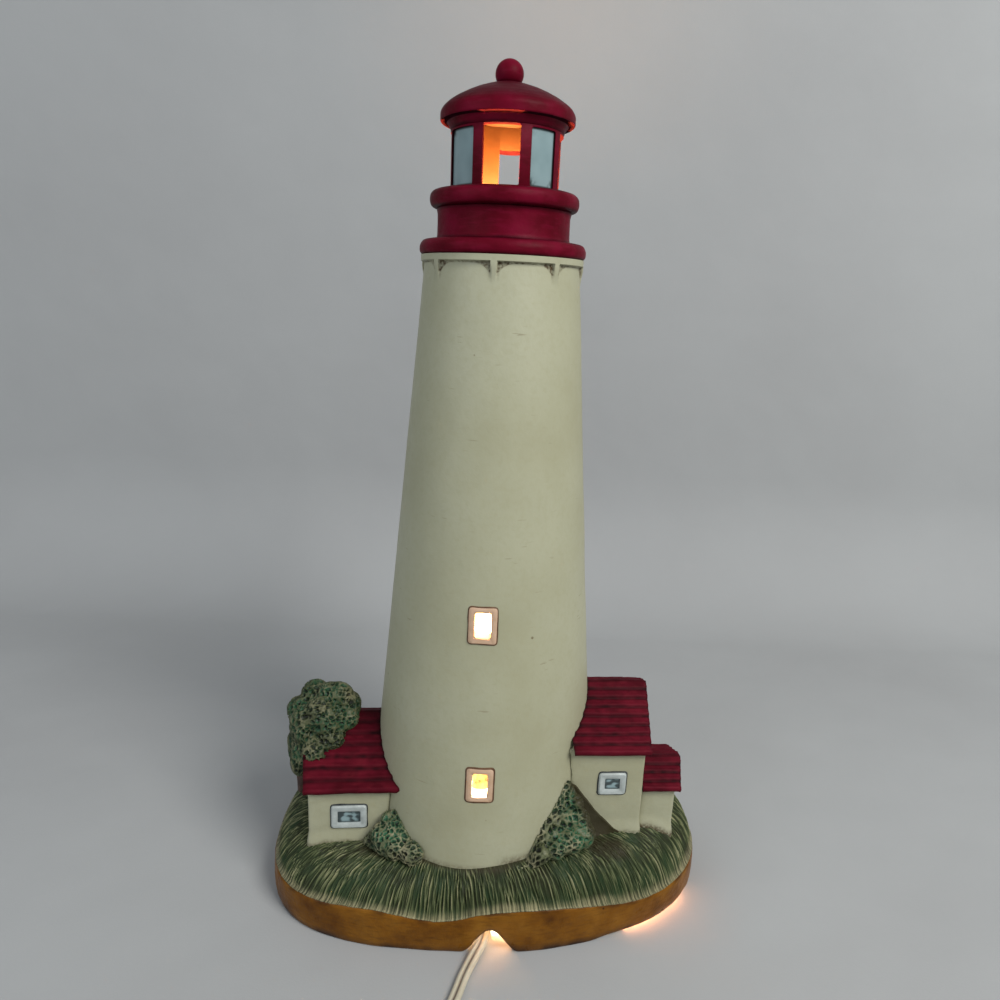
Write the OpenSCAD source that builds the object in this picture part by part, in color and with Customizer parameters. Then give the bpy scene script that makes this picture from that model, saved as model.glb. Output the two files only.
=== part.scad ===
// Ceramic lighthouse lamp on an oval island, with its bulb holder, cord, switch and plug.
// Millimetres. +Z is up and the lamp's front faces -Y. The middle of the island is x = y = 0,
// and the table is z = 0.

/* [Island] */
// Half length of the base, left to right
base_half_x = 108; // [104:1:125]
// Half depth of the base, front to back
base_half_y = 68; // [67:0.5:80]
// Thickness of the cast wall around the base
base_wall = 5; // [4:0.5:6]
// Mean height of the bare rim below the grass
rim_h = 18.6; // [16:0.1:22]
// How far the rim stands proud of the grass
rim_step = 1; // [0.5:0.1:2]
// Width of the cord notch in the front of the rim
notch_w = 27; // [24:1:32]
// Height of the cord notch
notch_h = 12; // [10.5:0.5:13]
// Place of the notch, right of the middle
notch_x = 3.4; // [1:0.2:5]
// Radial width of the grass bank
bank_w = 7; // [6:0.5:7.5]
// Number of grass blades around the bank
blade_count = 96; // [60:2:110]
// Depth of the furrow between two blades
blade_depth = 1; // [0.4:0.1:1.4]
// Height of the soil above the rim at the mean of the island
soil_rise = 18; // [15:0.5:21]
// Thickness of the soil crust
soil_crust = 4.5; // [3.5:0.5:5.5]

/* [Tower] */
// Place of the tower's axis, left of the island's middle
tower_x = -3.7; // [-6:0.1:0]
// Height of the tower's top above the table
tower_h = 302; // [270:1:340]
// Radius of the tower at its top
tower_top_r = 33.1; // [32:0.1:36]
// Ground left between the tower's foot and the island's long sides
tower_verge = 11.7; // [10.8:0.1:14]
// Thickness of the tower wall
tower_wall = 5; // [3.5:0.5:6]
// Height of the tower's lower edge, inside the island
tower_foot_z = 24; // [20:1:27]
// Width of a tower window's opening
window_w = 7.8; // [5:0.1:10]
// Height of a tower window's opening
window_h = 12.6; // [8:0.1:16]
// Height of the lower window's middle
window_low_z = 76; // [66:1:84]
// Height of the upper window's middle
window_high_z = 150.5; // [120:0.5:200]
// Width of the raised border round a tower window
window_border = 3; // [2:0.1:4]
// Thickness of that border
window_proud = 0.9; // [0.5:0.1:1.5]
// Turn of the windows about the tower in degrees
window_turn = -1.2; // [-10:0.2:10]
// Number of corbels under the gallery
corbel_count = 8; // [6:1:12]
// Width of a corbel
corbel_w = 4; // [3:0.5:7]
// How far the corbels stand out
corbel_proud = 1.8; // [1:0.1:2.2]
// Height of the arcade band that the corbels belong to
arcade_h = 11; // [8:0.5:22]
// Height of the plain band above the arches
lintel_h = 1.8; // [1:0.1:3]
// Turn of the arcade about the tower in degrees
arcade_turn = -5; // [-22:1:22]

/* [Lantern] */
// Radius of the gallery flange
flange_r = 35.7; // [35.3:0.1:40]
// Thickness of the gallery flange
flange_h = 6.5; // [5:0.5:9]
// Radius of the drum above the flange
drum_r = 28.3; // [26:0.1:30]
// Height of the drum
drum_h = 12.3; // [10:0.1:18]
// Radius of the rail ring
rail_r = 31.6; // [30.5:0.1:35]
// Thickness of the rail ring
rail_h = 7.1; // [5:0.1:9]
// Radius of the lantern room
lantern_r = 23.4; // [22:0.1:25.5]
// Height of the lantern room
lantern_h = 23.1; // [19:0.1:28]
// Thickness of the walls above the tower
lantern_wall = 3.6; // [3:0.1:4.5]
// Number of lantern windows, half of them open
lantern_windows = 8; // [8:2:8]
// Angle that one lantern window spans
lantern_window_deg = 37; // [30:1:39]
// Height of the sill and of the lintel of the lantern windows
lantern_sill = 0.8; // [0.5:0.1:2.5]
// Thickness of a blind pane
pane_thick = 1.8; // [1.2:0.1:2.2]
// How deep a blind pane lies in its window
pane_recess = 0.8; // [0.4:0.1:1.2]
// Turn of the lantern about the tower in degrees
lantern_turn = -5; // [-22:1:22]
// Radius of the roof's brim
brim_r = 27.8; // [27:0.1:30]
// Height of the sloped cornice under the brim
cornice_h = 4; // [3:0.5:6]
// Thickness of the rounded brim
brim_h = 5; // [4:0.5:7]
// Rise of the dome above the brim
dome_h = 9.8; // [7:0.1:14]
// Radius of the ball on top
finial_r = 5.8; // [4.5:0.1:7]

/* [Left cottage] */
// Ground left between its gable end and the island's end
left_verge = 19.7; // [17:0.1:24]
// Half depth between its long walls
left_half = 30.4; // [26:0.1:33]
// Height of its eaves above the table
left_eave_z = 61.5; // [54:0.5:66]
// Height of its ridge above the eaves
left_gable_h = 20.4; // [16:0.2:26]
// Turn of the cottage about the tower in degrees
left_turn = 6; // [0:1:9]
// Rows of tiles on each slope
left_courses = 7; // [4:1:10]

/* [Right cottage] */
// Ground left between the lean-to's front corner and the island's edge beside it
right_verge = 9.8; // [8.5:0.1:16]
// Half depth between its long walls
right_half = 31.2; // [27:0.1:33]
// How far the cottage's ridge lies in front of the tower's axis
right_shift = 6; // [3:0.5:8]
// Height of its eaves above the table
right_eave_z = 83.8; // [76:0.2:90]
// Height of its ridge above the eaves
right_gable_h = 17.2; // [13:0.2:24]
// Turn of the cottage about the tower in degrees
right_turn = 5; // [0:0.5:8]
// Rows of tiles on each slope
right_courses = 8; // [4:1:10]
// Length of the lean-to beyond the gable end
lean_len = 17.4; // [12:0.1:18]
// Half depth of the lean-to
lean_half = 14.5; // [13:0.5:19]
// How far the lean-to's front wall stands behind the cottage's
lean_back = 3.7; // [2:0.1:6]
// Height of the lean-to's eaves
lean_eave_z = 60.7; // [54:0.1:66]
// Height of the lean-to's ridge above its eaves
lean_gable_h = 5.6; // [5:0.2:12]
// Rows of tiles on each slope of the lean-to
lean_courses = 4; // [3:1:6]

/* [Cottage details] */
// Thickness of the cottage walls
cottage_wall = 3.5; // [2.5:0.5:5]
// Thickness of a roof at the upper edge of a row of tiles
roof_thin = 2; // [1.5:0.1:3]
// Extra thickness at the lower edge of a row of tiles
tile_step = 0.9; // [0.4:0.1:1.4]
// Overhang of the eaves
eave_out = 3; // [2:0.5:5]
// Overhang of the gable ends
gable_out = 1.5; // [1:0.1:3]
// How much farther the gable ends reach at the ridge than at the eaves
ridge_out = 4.5; // [0:0.5:6]
// Width of the left cottage's window
left_window_w = 16.8; // [12:0.1:20]
// Width of the right cottage's window
right_window_w = 14.4; // [10:0.1:18]
// Height of the cottage windows
cottage_window_h = 12.3; // [9:0.1:14]
// Width of the border of the cottage windows
cottage_border = 3.2; // [2:0.1:4]
// Thickness of the cottage windows
cottage_window_t = 1.4; // [1:0.1:2]

/* [Planting] */
// Gap between the tree's crown and the tower
tree_gap = 7.7; // [6:0.1:9]
// How far the crown stays inside the island's end
tree_verge = 4.8; // [4:0.1:8]
// Half height of the tree's crown
tree_half_h = 23.5; // [20:0.5:26]
// Height of the crown's middle
tree_z = 77; // [74:0.5:80]
// Radius of the trunk
trunk_r = 3; // [2.5:0.5:4]
// Size of one tuft of the tree's leaves
tuft_r = 7.5; // [6:0.5:9]
// Size of one tuft of the bushes
bush_r = 6.5; // [5.5:0.25:7.25]
// Height of the left bush above the soil
left_bush_h = 16.5; // [14:0.5:20]
// Height of the right bushes above the soil
right_bush_h = 27.5; // [22:0.5:30]

/* [Light kit] */
// Radius of the steel pan
pan_r = 38; // [34:0.5:42]
// Height of the pan
pan_h = 14; // [13.5:0.5:16]
// Thickness of the pan's sheet
pan_sheet = 1; // [0.8:0.1:1.5]
// Thickness of the felt ring under the pan
felt_h = 0.8; // [0.5:0.1:1.5]
// Width of the felt ring
felt_w = 6; // [4:0.5:9]
// Outer radius of the threaded lamp pipe
pipe_r = 4.9; // [4.6:0.1:5.2]
// Wall of the lamp pipe
pipe_wall = 1.3; // [1:0.1:1.4]
// Length of the lamp pipe above the pan
pipe_len = 58; // [40:1:75]
// Width across the flats of a locknut
nut_flats = 14.3; // [12:0.1:17]
// Thickness of a locknut
nut_h = 3.2; // [2.5:0.1:4]
// Outer radius of the candelabra socket
socket_r = 11; // [10:0.5:13]
// Height of the socket body
socket_h = 28; // [26:1:30]
// Wall of the socket body
socket_wall = 2.4; // [1.8:0.1:3]
// Height of the socket's cap
socket_cap_h = 8; // [6:0.5:10]
// Thickness of the threaded shell's sheet
shell_sheet = 0.4; // [0.3:0.1:0.6]
// Length of the tapered cord relief outside the pan
relief_len = 20; // [20:0.5:21]
// Turn of the cord's way out about the tower in degrees
exit_turn = 4; // [0:0.5:6]

/* [Bulb] */
// Radius of the threaded bulb cap
cap_r = 5.9; // [5.6:0.1:6.2]
// Length of the bulb cap
cap_h = 14; // [12:0.5:16]
// Largest radius of the glass
bulb_r = 10.5; // [9:0.1:12]
// Length of the glass above the cap
bulb_h = 40; // [34:0.5:46]
// Thickness of the glass
glass_t = 0.8; // [0.5:0.1:1.2]

/* [Cord] */
// Width of the flat two-core cord
cord_w = 5.2; // [5:0.1:5.4]
// Thickness of the cord
cord_t = 2.7; // [2.5:0.1:2.8]
// Turns in the stored coil, half of them in each layer
coil_turns = 7.4; // [7.4:1:8.4]
// Mean radius of the coil's turns
coil_r = 31.2; // [31.2:0.1:33]
// Gap between neighbouring turns and layers
coil_gap = 0.5; // [0.5:0.05:0.8]

/* [Switch and plug] */
// Length of the switch housing
switch_len = 52; // [50:0.5:53]
// Width of the switch housing
switch_w = 22; // [20:0.5:24]
// Height of the switch housing
switch_h = 14; // [13:0.5:16]
// Wall of the switch housing
switch_wall = 2; // [1.5:0.1:2.5]
// Radius of the thumb wheel
wheel_r = 8; // [7.5:0.1:8.5]
// Thickness of the thumb wheel
wheel_t = 5; // [4:0.1:6]
// Radius of the thumb wheel's axle
axle_r = 1.5; // [1.2:0.1:2]
// Length of the moulded plug body
plug_len = 24; // [20:0.5:26]
// Width of the plug body
plug_w = 21; // [19:0.5:22]
// Height of the plug body
plug_h = 13; // [12:0.5:15]
// Length of the taper behind the plug body
plug_taper = 20; // [20:0.5:22]
// Length of a plug blade outside the body
blade_len = 15.9; // [15:0.1:18]

/* [Hidden] */

// Colours of the painted ceramic and of the metal and plastic parts
cream = [0.76, 0.73, 0.6];
burgundy = [0.33, 0.05, 0.1];
ochre = [0.42, 0.28, 0.12];
grass_green = [0.18, 0.3, 0.2];
leaf_green = [0.3, 0.45, 0.33];
soil_brown = [0.3, 0.27, 0.17];
pane_blue = [0.55, 0.68, 0.7];
ivory = [0.87, 0.84, 0.74];
steel = [0.72, 0.72, 0.73];
brass_yellow = [0.72, 0.58, 0.3];

// Space left for the slip that joins two cast parts
seam = 0.15;
// Running clearance of the thumb wheel's axle, and the gap round its rim
axle_clear = 0.05;
wheel_clear = 0.5;
// Gap between the bulb and its socket
bulb_clear = 0.3;
// Smallest overshoot of a cut past a face
past = 1;
// Steps of a full turn on the round parts
round_fn = 96;

// Heights of the stacked parts
drum_z = tower_h + flange_h;
rail_z = drum_z + drum_h;
lantern_z = rail_z + rail_h;
cornice_z = lantern_z + lantern_h;
brim_z = cornice_z + cornice_h;
dome_z = brim_z + brim_h;
finial_z = dome_z + dome_h + 0.6 * finial_r;
drum_bore = drum_r - base_wall;
lantern_bore = lantern_r - lantern_wall;

// Mean height of the soil, and the tower's radius there: its wall leans evenly up to its top
soil_z = rim_h + soil_rise;
tower_foot_r = base_half_y - tower_verge;
function tower_r(z) = tower_top_r
    + (tower_foot_r - tower_top_r) * (tower_h - z) / (tower_h - soil_z);
// How far the tower's surface lies from its axis, along X, at a height and a depth
function tower_reach(z, depth) = sqrt(pow(tower_r(z), 2) - depth * depth);

// Distances of the gable ends from the tower's axis. On the right the lean-to's front corner
// stays inside the island's edge.
left_end = base_half_x + tower_x - left_verge;
lean_front = right_shift + right_half - lean_back;
lean_corner_y = (base_half_x - tower_x) * sin(right_turn) - lean_front * cos(right_turn);
function right_outline(y) = base_half_x * pow(1 - pow(abs(y) / base_half_y, 1.92), 1 / 1.92);
lean_end = (right_outline(lean_corner_y) - right_verge - tower_x - lean_front * sin(right_turn))
    / cos(right_turn);
right_end = lean_end - lean_len;

// A curve through a few chosen heights round the island, softened between them
function soft(table, a) = (lookup(a - 8, table) + 2 * lookup(a, table) + lookup(a + 8, table)) / 4;
// Grass line against the mean rim height, by angle; the front is -90 degrees
grass_line = [[-180, -3], [-150, -1.8], [-127, 2.4], [-108, -3.6], [-85, 4.2], [-60, 3.6],
    [-32, -2.6], [0, -1.6], [60, 0.6], [90, -2], [130, 1.6], [180, -3]];
// Height of the soil against its mean, by angle
soil_line = [[-180, -3.2], [-140, -4], [-115, 0], [-90, 3.2], [-60, 3.8], [-25, 3.6], [0, 4],
    [60, 1], [90, 0.5], [140, -2], [180, -3.2]];

// The island's outline is a rounded oval, squarer at its left end than at its right
function side_power(a) = 2.5 - 0.6 * cos(a);
// Small bulges and flats of the hand-shaped outline, by angle from the right-hand end
bulges = [[0, -0.5], [12, 2], [20, 2.6], [31, 1.4], [45, -2], [57, -2.2], [70, -1], [90, 0],
    [108, 0.6], [120, 1.2], [135, 2.2], [145, 2], [152, 0.8], [165, -1.2], [180, 0.3]];
function bulge(a) = (lookup(abs(a - 6), bulges) + 2 * lookup(abs(a), bulges)
    + lookup(abs(a + 6), bulges)) / 4;
function base_r(a, inset = 0) =
    let (n = side_power(a), rx = base_half_x - inset, ry = base_half_y - inset)
    pow(pow(abs(cos(a)) / rx, n) + pow(abs(sin(a)) / ry, n), -1 / n) + bulge(a);
function rim_top(a) = rim_h + soft(grass_line, a);
function soil_top(a) = rim_h + soil_rise + soft(soil_line, a);
// Height of the bank at a distance d inside the outline
function bank_z(a, d) = rim_top(a) + (soil_top(a) - rim_top(a)) * (1 - exp(-d / bank_w));
function bank_under_z(a, d) =
    rim_top(a) + (soil_top(a) - soil_crust - rim_top(a)) * (1 - exp(-max(0, d - base_wall) / bank_w));
function polar(r, a, z) = [r * cos(a), r * sin(a), z];

// Frame of the tower: the cottages, the light kit and all that stands on them share its axis
module at_tower() {
    translate([tower_x, 0, 0]) children();
}

// Closed ring swept from a list of cross-sections, one per step round the island
module ring_sweep(sections) {
    n = len(sections);
    m = len(sections[0]);
    points = [for (s = sections) each s];
    faces = [for (i = [0 : n - 1], j = [0 : m - 1])
        let (a = i * m, b = ((i + 1) % n) * m, k = (j + 1) % m)
        each [[a + j, b + k, b + j], [a + j, a + k, b + k]]];
    polyhedron(points = points, faces = faces, convexity = 8);
}

// Tube of a closed section swept along an open row of rings
module open_sweep(rings) {
    n = len(rings);
    m = len(rings[0]);
    points = [for (r = rings) each r];
    sides = [for (i = [0 : n - 2], j = [0 : m - 1])
        let (a = i * m, b = a + m, k = (j + 1) % m)
        each [[a + j, a + k, b + k], [a + j, b + k, b + j]]];
    first = [for (j = [m - 1 : -1 : 0]) j];
    last = [for (j = [0 : m - 1]) (n - 1) * m + j];
    polyhedron(points = points, faces = concat(sides, [first], [last]), convexity = 8);
}

function steps(count) = [for (i = [0 : count - 1]) -180 + i * 360 / count];

// Bell-shaped notch for the cord, with its feet flared
module notch_form() {
    bell = [for (i = [0 : 24]) let (t = -1 + i / 12)
        [t * notch_w / 2, notch_h * (1 + cos(180 * t)) / 2]];
    translate([notch_x, -base_half_y + base_wall + 2 * past, 0]) rotate([90, 0, 0])
        linear_extrude(height = base_wall + 3 * past)
        polygon(concat(bell, [[notch_w / 2, -past], [-notch_w / 2, -past]]));
}

module base_rim() {
    edge = 1.2;
    color(ochre)
    difference() {
        ring_sweep([for (a = steps(blade_count))
            let (r = base_r(a), t = rim_top(a) - seam)
            [polar(r - edge, a, 0), polar(r, a, edge), polar(r, a, t - edge),
             polar(r - rim_step, a, t), polar(r - base_wall, a, t), polar(r - base_wall, a, 0)]]);
        notch_form();
    }
}

// The grass hangs down the bank in blades: ridge and furrow take turns round the outline
module grass_skirt() {
    depths = [0, 1.2, 2.8, 4.8];
    color(grass_green)
    ring_sweep([for (i = [0 : 2 * blade_count - 1])
        let (a = -180 + i * 180 / blade_count, r = base_r(a, rim_step), furrow = (i % 2) * blade_depth)
        concat(
            [for (d = depths) let (f = furrow * (1 - d / bank_w)) polar(r - d - f, a, bank_z(a, d))],
            [polar(r - bank_w, a, bank_z(a, bank_w)),
             polar(r - bank_w, a, bank_under_z(a, bank_w)),
             polar(r - base_wall + rim_step, a, rim_top(a))])]);
}

// Upper side of the soil between the bank and the tower; s runs from 0 at the bank to 1
function soil_point(a, s, gap, lift) =
    let (r0 = base_r(a, rim_step) - bank_w - gap, r1 = tower_foot_r + gap,
         outer = polar(r0, a, 0), inner = polar(r1, a, 0) + [tower_x, 0, 0],
         p = outer + s * (inner - outer), d = bank_w + gap + s * norm(inner - outer))
    [p[0], p[1], bank_z(a, d) + lift];

module soil_bed() {
    soil_steps = 72;
    spots = [0, 0.35, 1];
    color(soil_brown)
    difference() {
        ring_sweep([for (a = steps(soil_steps))
            concat(
                [for (s = spots) soil_point(a, s, seam, 0)],
                [for (s = [1, 0.35, 0]) soil_point(a, s, seam, -soil_crust)])]);
        at_tower() {
            left_plot(seam);
            right_plot(seam);
            lean_plot(seam);
            tower_solid(seam, rim_h - past, tower_h / 3);
        }
    }
}

// Solid ground used to trim the planting, raised a little
module ground_form(lift) {
    form_steps = 72;
    rings = [for (a = steps(form_steps))
        [polar(0, a, rim_h), polar(base_r(a) + 2, a, rim_top(a) - 2),
         polar(base_r(a, rim_step) + lift, a, bank_z(a, 0) + lift),
         polar(base_r(a, rim_step) - 2 + lift, a, bank_z(a, 2) + 2 * lift),
         polar(base_r(a, rim_step) - 5, a, bank_z(a, 5) + 2 * lift),
         soil_point(a, 0, 0, 2 * lift), soil_point(a, 0.35, 0, lift), soil_point(a, 1, 0, lift),
         polar(0, a, soil_top(a) + lift)]];
    n = len(rings);
    m = len(rings[0]);
    // The first and last points of every ring are drawn together on the axis
    points = concat([for (r = rings) for (j = [1 : m - 2]) r[j]],
        [[0, 0, rim_h], [0, 0, rim_h + soil_rise + lift]]);
    w = m - 2;
    low = n * w;
    faces = concat(
        [for (i = [0 : n - 1], j = [0 : w - 2])
            let (a = i * w, b = ((i + 1) % n) * w)
            each [[a + j, b + j + 1, b + j], [a + j, a + j + 1, b + j + 1]]],
        [for (i = [0 : n - 1]) [low, i * w, ((i + 1) % n) * w]],
        [for (i = [0 : n - 1]) [low + 1, ((i + 1) % n) * w + w - 1, i * w + w - 1]]);
    polyhedron(points = points, faces = faces, convexity = 8);
}

// Rectangle with rounded corners, centred
module rounded_rect(w, h, r) {
    square([w - 2 * r, h], center = true);
    square([w, h - 2 * r], center = true);
    for (x = [-1, 1], y = [-1, 1])
        translate([x * (w / 2 - r), y * (h / 2 - r)]) circle(r = r, $fn = 32);
}

// Prism that leaves the tower's axis to the front, drawn as seen from there
module front_prism(z, reach) {
    translate([0, 0, z]) rotate([90, 0, 0]) linear_extrude(height = reach) children();
}

module tower_solid(gap, z0, z1) {
    translate([0, 0, z0])
        cylinder(r1 = tower_r(z0) + gap, r2 = tower_r(z1) + gap, h = z1 - z0, $fn = round_fn);
}

// Opening of one arch of the arcade, from the axis outwards
module arch_cut() {
    gap_w = 2 * (tower_top_r + corbel_proud) * sin(180 / corbel_count) - corbel_w;
    arch_z = tower_h - lintel_h;
    rise = 3;
    points = [for (i = [0 : 8]) let (t = -1 + i / 4) [t * gap_w / 2, arch_z - rise * pow(t, 4)]];
    front_prism(0, tower_top_r + 12)
        polygon(concat(points, [[gap_w / 2, arch_z - arcade_h - past],
            [-gap_w / 2, arch_z - arcade_h - past]]));
}

module tower_shell() {
    band_z = tower_h - arcade_h;
    color(cream) at_tower()
    difference() {
        union() {
            tower_solid(0, tower_foot_z, tower_h);
            difference() {
                // The arcade band swells from the wall to the corbels' full depth
                rotate_extrude($fn = round_fn)
                    polygon([[tower_top_r - 2, band_z], [tower_r(band_z), band_z],
                        [tower_top_r + corbel_proud, tower_h - lintel_h - 2],
                        [tower_top_r + corbel_proud, tower_h], [tower_top_r - 2, tower_h]]);
                for (i = [0 : corbel_count - 1])
                    rotate([0, 0, arcade_turn + (i + 0.5) * 360 / corbel_count]) arch_cut();
            }
        }
        tower_solid(-tower_wall, tower_foot_z - past, tower_h + past);
        for (z = [window_low_z, window_high_z])
            rotate([0, 0, window_turn])
            front_prism(z, tower_r(0) + past) rounded_rect(window_w, window_h, 1.5);
    }
}

module tower_window_frames() {
    frame_w = window_w + 2 * window_border;
    frame_h = window_h + 2 * window_border;
    color(cream)
    at_tower() rotate([0, 0, window_turn])
    for (z = [window_low_z, window_high_z])
        difference() {
            intersection() {
                tower_solid(window_proud, z - frame_h, z + frame_h);
                front_prism(z, tower_r(0) + 2 * past) rounded_rect(frame_w, frame_h, 2);
            }
            tower_solid(seam / 3, z - frame_h - past, z + frame_h + past);
            front_prism(z, tower_r(0) + 3 * past) rounded_rect(window_w, window_h, 1.5);
        }
}

// Flat ring with a rounded rim; bore and outside are given as radii
module round_edged_ring(bore, r, h) {
    edge = h / 2;
    rotate_extrude($fn = round_fn) {
        translate([bore, 0]) square([r - edge - bore, h]);
        translate([r - edge, h / 2]) intersection() {
            circle(r = edge, $fn = 48);
            translate([0, -h / 2]) square([edge + past, h]);
        }
    }
}

module gallery_flange() {
    color(burgundy) at_tower() translate([0, 0, tower_h]) round_edged_ring(drum_bore, flange_r, flange_h);
}

module lantern_drum() {
    color(burgundy) at_tower()
    difference() {
        translate([0, 0, drum_z]) cylinder(r = drum_r, h = drum_h, $fn = round_fn);
        translate([0, 0, drum_z - past]) cylinder(r = drum_bore, h = drum_h + 2 * past, $fn = round_fn);
    }
}

module rail_ring() {
    color(burgundy) at_tower() translate([0, 0, rail_z]) round_edged_ring(lantern_bore, rail_r, rail_h);
}

// Wedge of one lantern window, from the axis outwards, narrowed by gap on each side
module window_wedge(turn, gap) {
    half_w = lantern_r * sin(lantern_window_deg / 2) - gap;
    half_h = lantern_h / 2 - lantern_sill - gap;
    rotate([0, 0, lantern_turn + turn])
        front_prism(lantern_z + lantern_h / 2, lantern_r + 2 * past)
        square([2 * half_w, 2 * half_h], center = true);
}

module lantern_room() {
    color(burgundy) at_tower()
    difference() {
        translate([0, 0, lantern_z]) cylinder(r = lantern_r, h = lantern_h, $fn = round_fn);
        translate([0, 0, lantern_z - past])
            cylinder(r = lantern_bore, h = lantern_h + 2 * past, $fn = round_fn);
        for (i = [0 : lantern_windows - 1]) window_wedge(i * 360 / lantern_windows, 0);
    }
}

// Every second window is closed by a pane that lies a little inside the wall
module blind_panes() {
    outer = lantern_r - pane_recess;
    color(pane_blue) at_tower()
    for (i = [0 : lantern_windows / 2 - 1])
        intersection() {
            window_wedge((i + 0.5) * 720 / lantern_windows, seam / 2);
            difference() {
                translate([0, 0, lantern_z]) cylinder(r = outer, h = lantern_h, $fn = round_fn);
                translate([0, 0, lantern_z - past])
                    cylinder(r = outer - pane_thick, h = lantern_h + 2 * past, $fn = round_fn);
            }
        }
}

// Points of the dome's curve from the brim up to the ball, drawn in by inset
function dome_curve(inset) =
    let (foot = brim_r - brim_h / 2)
    [for (i = [0 : 10]) let (t = i / 10, r = foot + (finial_r - foot) * t)
        [r - inset * (1 - t) * 0.6, dome_z + dome_h * (1 - pow(1 - t, 1.35)) - inset]];

module lantern_roof() {
    inner_top = dome_z + dome_h - lantern_wall;
    color(burgundy) at_tower()
    rotate_extrude($fn = round_fn)
        difference() {
            union() {
                polygon(concat([[0, cornice_z], [lantern_r, cornice_z],
                    [brim_r - brim_h / 4, brim_z], [brim_r - brim_h / 2, dome_z]],
                    dome_curve(0), [[0, dome_z + dome_h]]));
                translate([brim_r - brim_h / 2, brim_z + brim_h / 2]) intersection() {
                    circle(r = brim_h / 2, $fn = 48);
                    translate([0, -brim_h / 2]) square([brim_h, brim_h]);
                }
            }
            polygon([[-past, cornice_z - past], [lantern_bore, cornice_z - past],
                [lantern_bore, brim_z], [brim_r - brim_h, dome_z - brim_h / 3],
                [finial_r, inner_top - 0.6], [-past, inner_top]]);
        }
}

module finial_ball() {
    seat_z = dome_z + dome_h;
    color(burgundy) at_tower()
    difference() {
        translate([0, 0, finial_z]) sphere(r = finial_r, $fn = 64);
        translate([0, 0, seat_z - finial_r])
            cylinder(r = finial_r + past, h = finial_r, $fn = round_fn);
    }
}

// Gabled form: half depth, foot, eave height and rise above it, as an end view
module house_end(half, foot_z, eave_z, rise) {
    polygon([[-half, foot_z], [half, foot_z], [half, eave_z], [0, eave_z + rise], [-half, eave_z]]);
}

// Prism along X from x0 to x1 of an end view drawn in Y and Z
module along_x(x0, x1) {
    translate([x0, 0, 0]) rotate([90, 0, 90]) linear_extrude(height = x1 - x0) children();
}

// Outer line of a slope with its rows of tiles, from the eave up to the ridge
function tile_line(half, eave_z, rise, courses) =
    let (run = half + eave_out, drop = rise * eave_out / half, pitch = atan(rise / half),
         up = [-sin(pitch), cos(pitch)])
    [for (i = [0 : courses - 1], k = [0, 1])
        let (t = (i + k) / courses, thick = roof_thin + (1 - k) * tile_step)
        [run * (1 - t), eave_z - drop + (rise + drop) * t] + thick * [-up[0], up[1]]];

// End view of a tiled roof: both slopes, flat underneath
module roof_end(half, eave_z, rise, courses) {
    drop = rise * eave_out / half;
    line = tile_line(half, eave_z, rise, courses);
    n = len(line);
    capped = [for (p = line) [max(0, p[0]), p[1]]];
    polygon(concat([[0, eave_z + rise], [half + eave_out, eave_z - drop]],
        capped, [for (i = [n - 2 : -1 : 0]) [-capped[i][0], capped[i][1]]],
        [[-half - eave_out, eave_z - drop]]));
}

// Trims a gable end at x: the ridge runs ridge_out farther than the eaves
module rake_trim(x, half, side) {
    eave_y = half + eave_out;
    wide = eave_y + 5;
    far = x + side * (ridge_out + 10);
    linear_extrude(height = tower_h / 2)
        polygon([[x, -wide], [x, -eave_y], [x + side * ridge_out, 0], [x, eave_y], [x, wide],
            [far, wide], [far, -wide]]);
}

left_foot_z = rim_h + 9;
right_foot_z = rim_h + 12;
lean_foot_z = rim_h + 12;

// Plots that the cottages stand in, widened by gap
module left_plot(gap) {
    rotate([0, 0, left_turn]) along_x(-left_end - gap, -20)
        house_end(left_half + gap, 0, left_eave_z, left_gable_h);
}
module right_plot(gap) {
    rotate([0, 0, right_turn]) translate([0, -right_shift, 0]) along_x(20, right_end + gap)
        house_end(right_half + gap, 0, right_eave_z, right_gable_h);
}
lean_shift = lean_front - lean_half;
module lean_plot(gap) {
    rotate([0, 0, right_turn]) translate([0, -lean_shift, 0])
        along_x(right_end - past, lean_end + gap)
        house_end(lean_half + gap, 0, lean_eave_z, lean_gable_h);
}

module left_cottage_walls() {
    color(cream) at_tower()
    difference() {
        rotate([0, 0, left_turn])
        difference() {
            along_x(-left_end, -20) house_end(left_half, left_foot_z, left_eave_z, left_gable_h);
            along_x(-left_end + cottage_wall, 0)
                polygon([[-left_half + cottage_wall, 0], [left_half - cottage_wall, 0],
                    [left_half - cottage_wall, left_eave_z + left_gable_h + past],
                    [-left_half + cottage_wall, left_eave_z + left_gable_h + past]]);
        }
        tower_solid(seam, tower_foot_z - past, tower_h);
    }
}

module left_cottage_roof() {
    end_x = -left_end - gable_out;
    color(burgundy) at_tower()
    difference() {
        rotate([0, 0, left_turn])
        difference() {
            translate([0, 0, seam]) along_x(end_x - ridge_out, -20)
                roof_end(left_half, left_eave_z, left_gable_h, left_courses);
            rake_trim(end_x, left_half, -1);
        }
        tower_solid(seam, tower_foot_z, tower_h);
    }
}

// Painted window of a cottage: a bordered plate with a sunk pane, its back at y = 0
module cottage_window(w) {
    pane_depth = 0.8;
    rotate([90, 0, 0])
    difference() {
        linear_extrude(height = cottage_window_t) rounded_rect(w, cottage_window_h, 1);
        translate([0, 0, cottage_window_t - pane_depth])
            linear_extrude(height = cottage_window_t)
            rounded_rect(w - 2 * cottage_border, cottage_window_h - 2 * cottage_border, 0.8);
    }
}

module left_cottage_window() {
    middle_z = left_eave_z - 16;
    // Halfway along the wall that shows between the tower and the corner
    middle_x = -(tower_reach(middle_z, left_half) + left_end) / 2;
    color("white") at_tower() rotate([0, 0, left_turn])
        translate([middle_x, -left_half, middle_z]) cottage_window(left_window_w);
}

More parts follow.
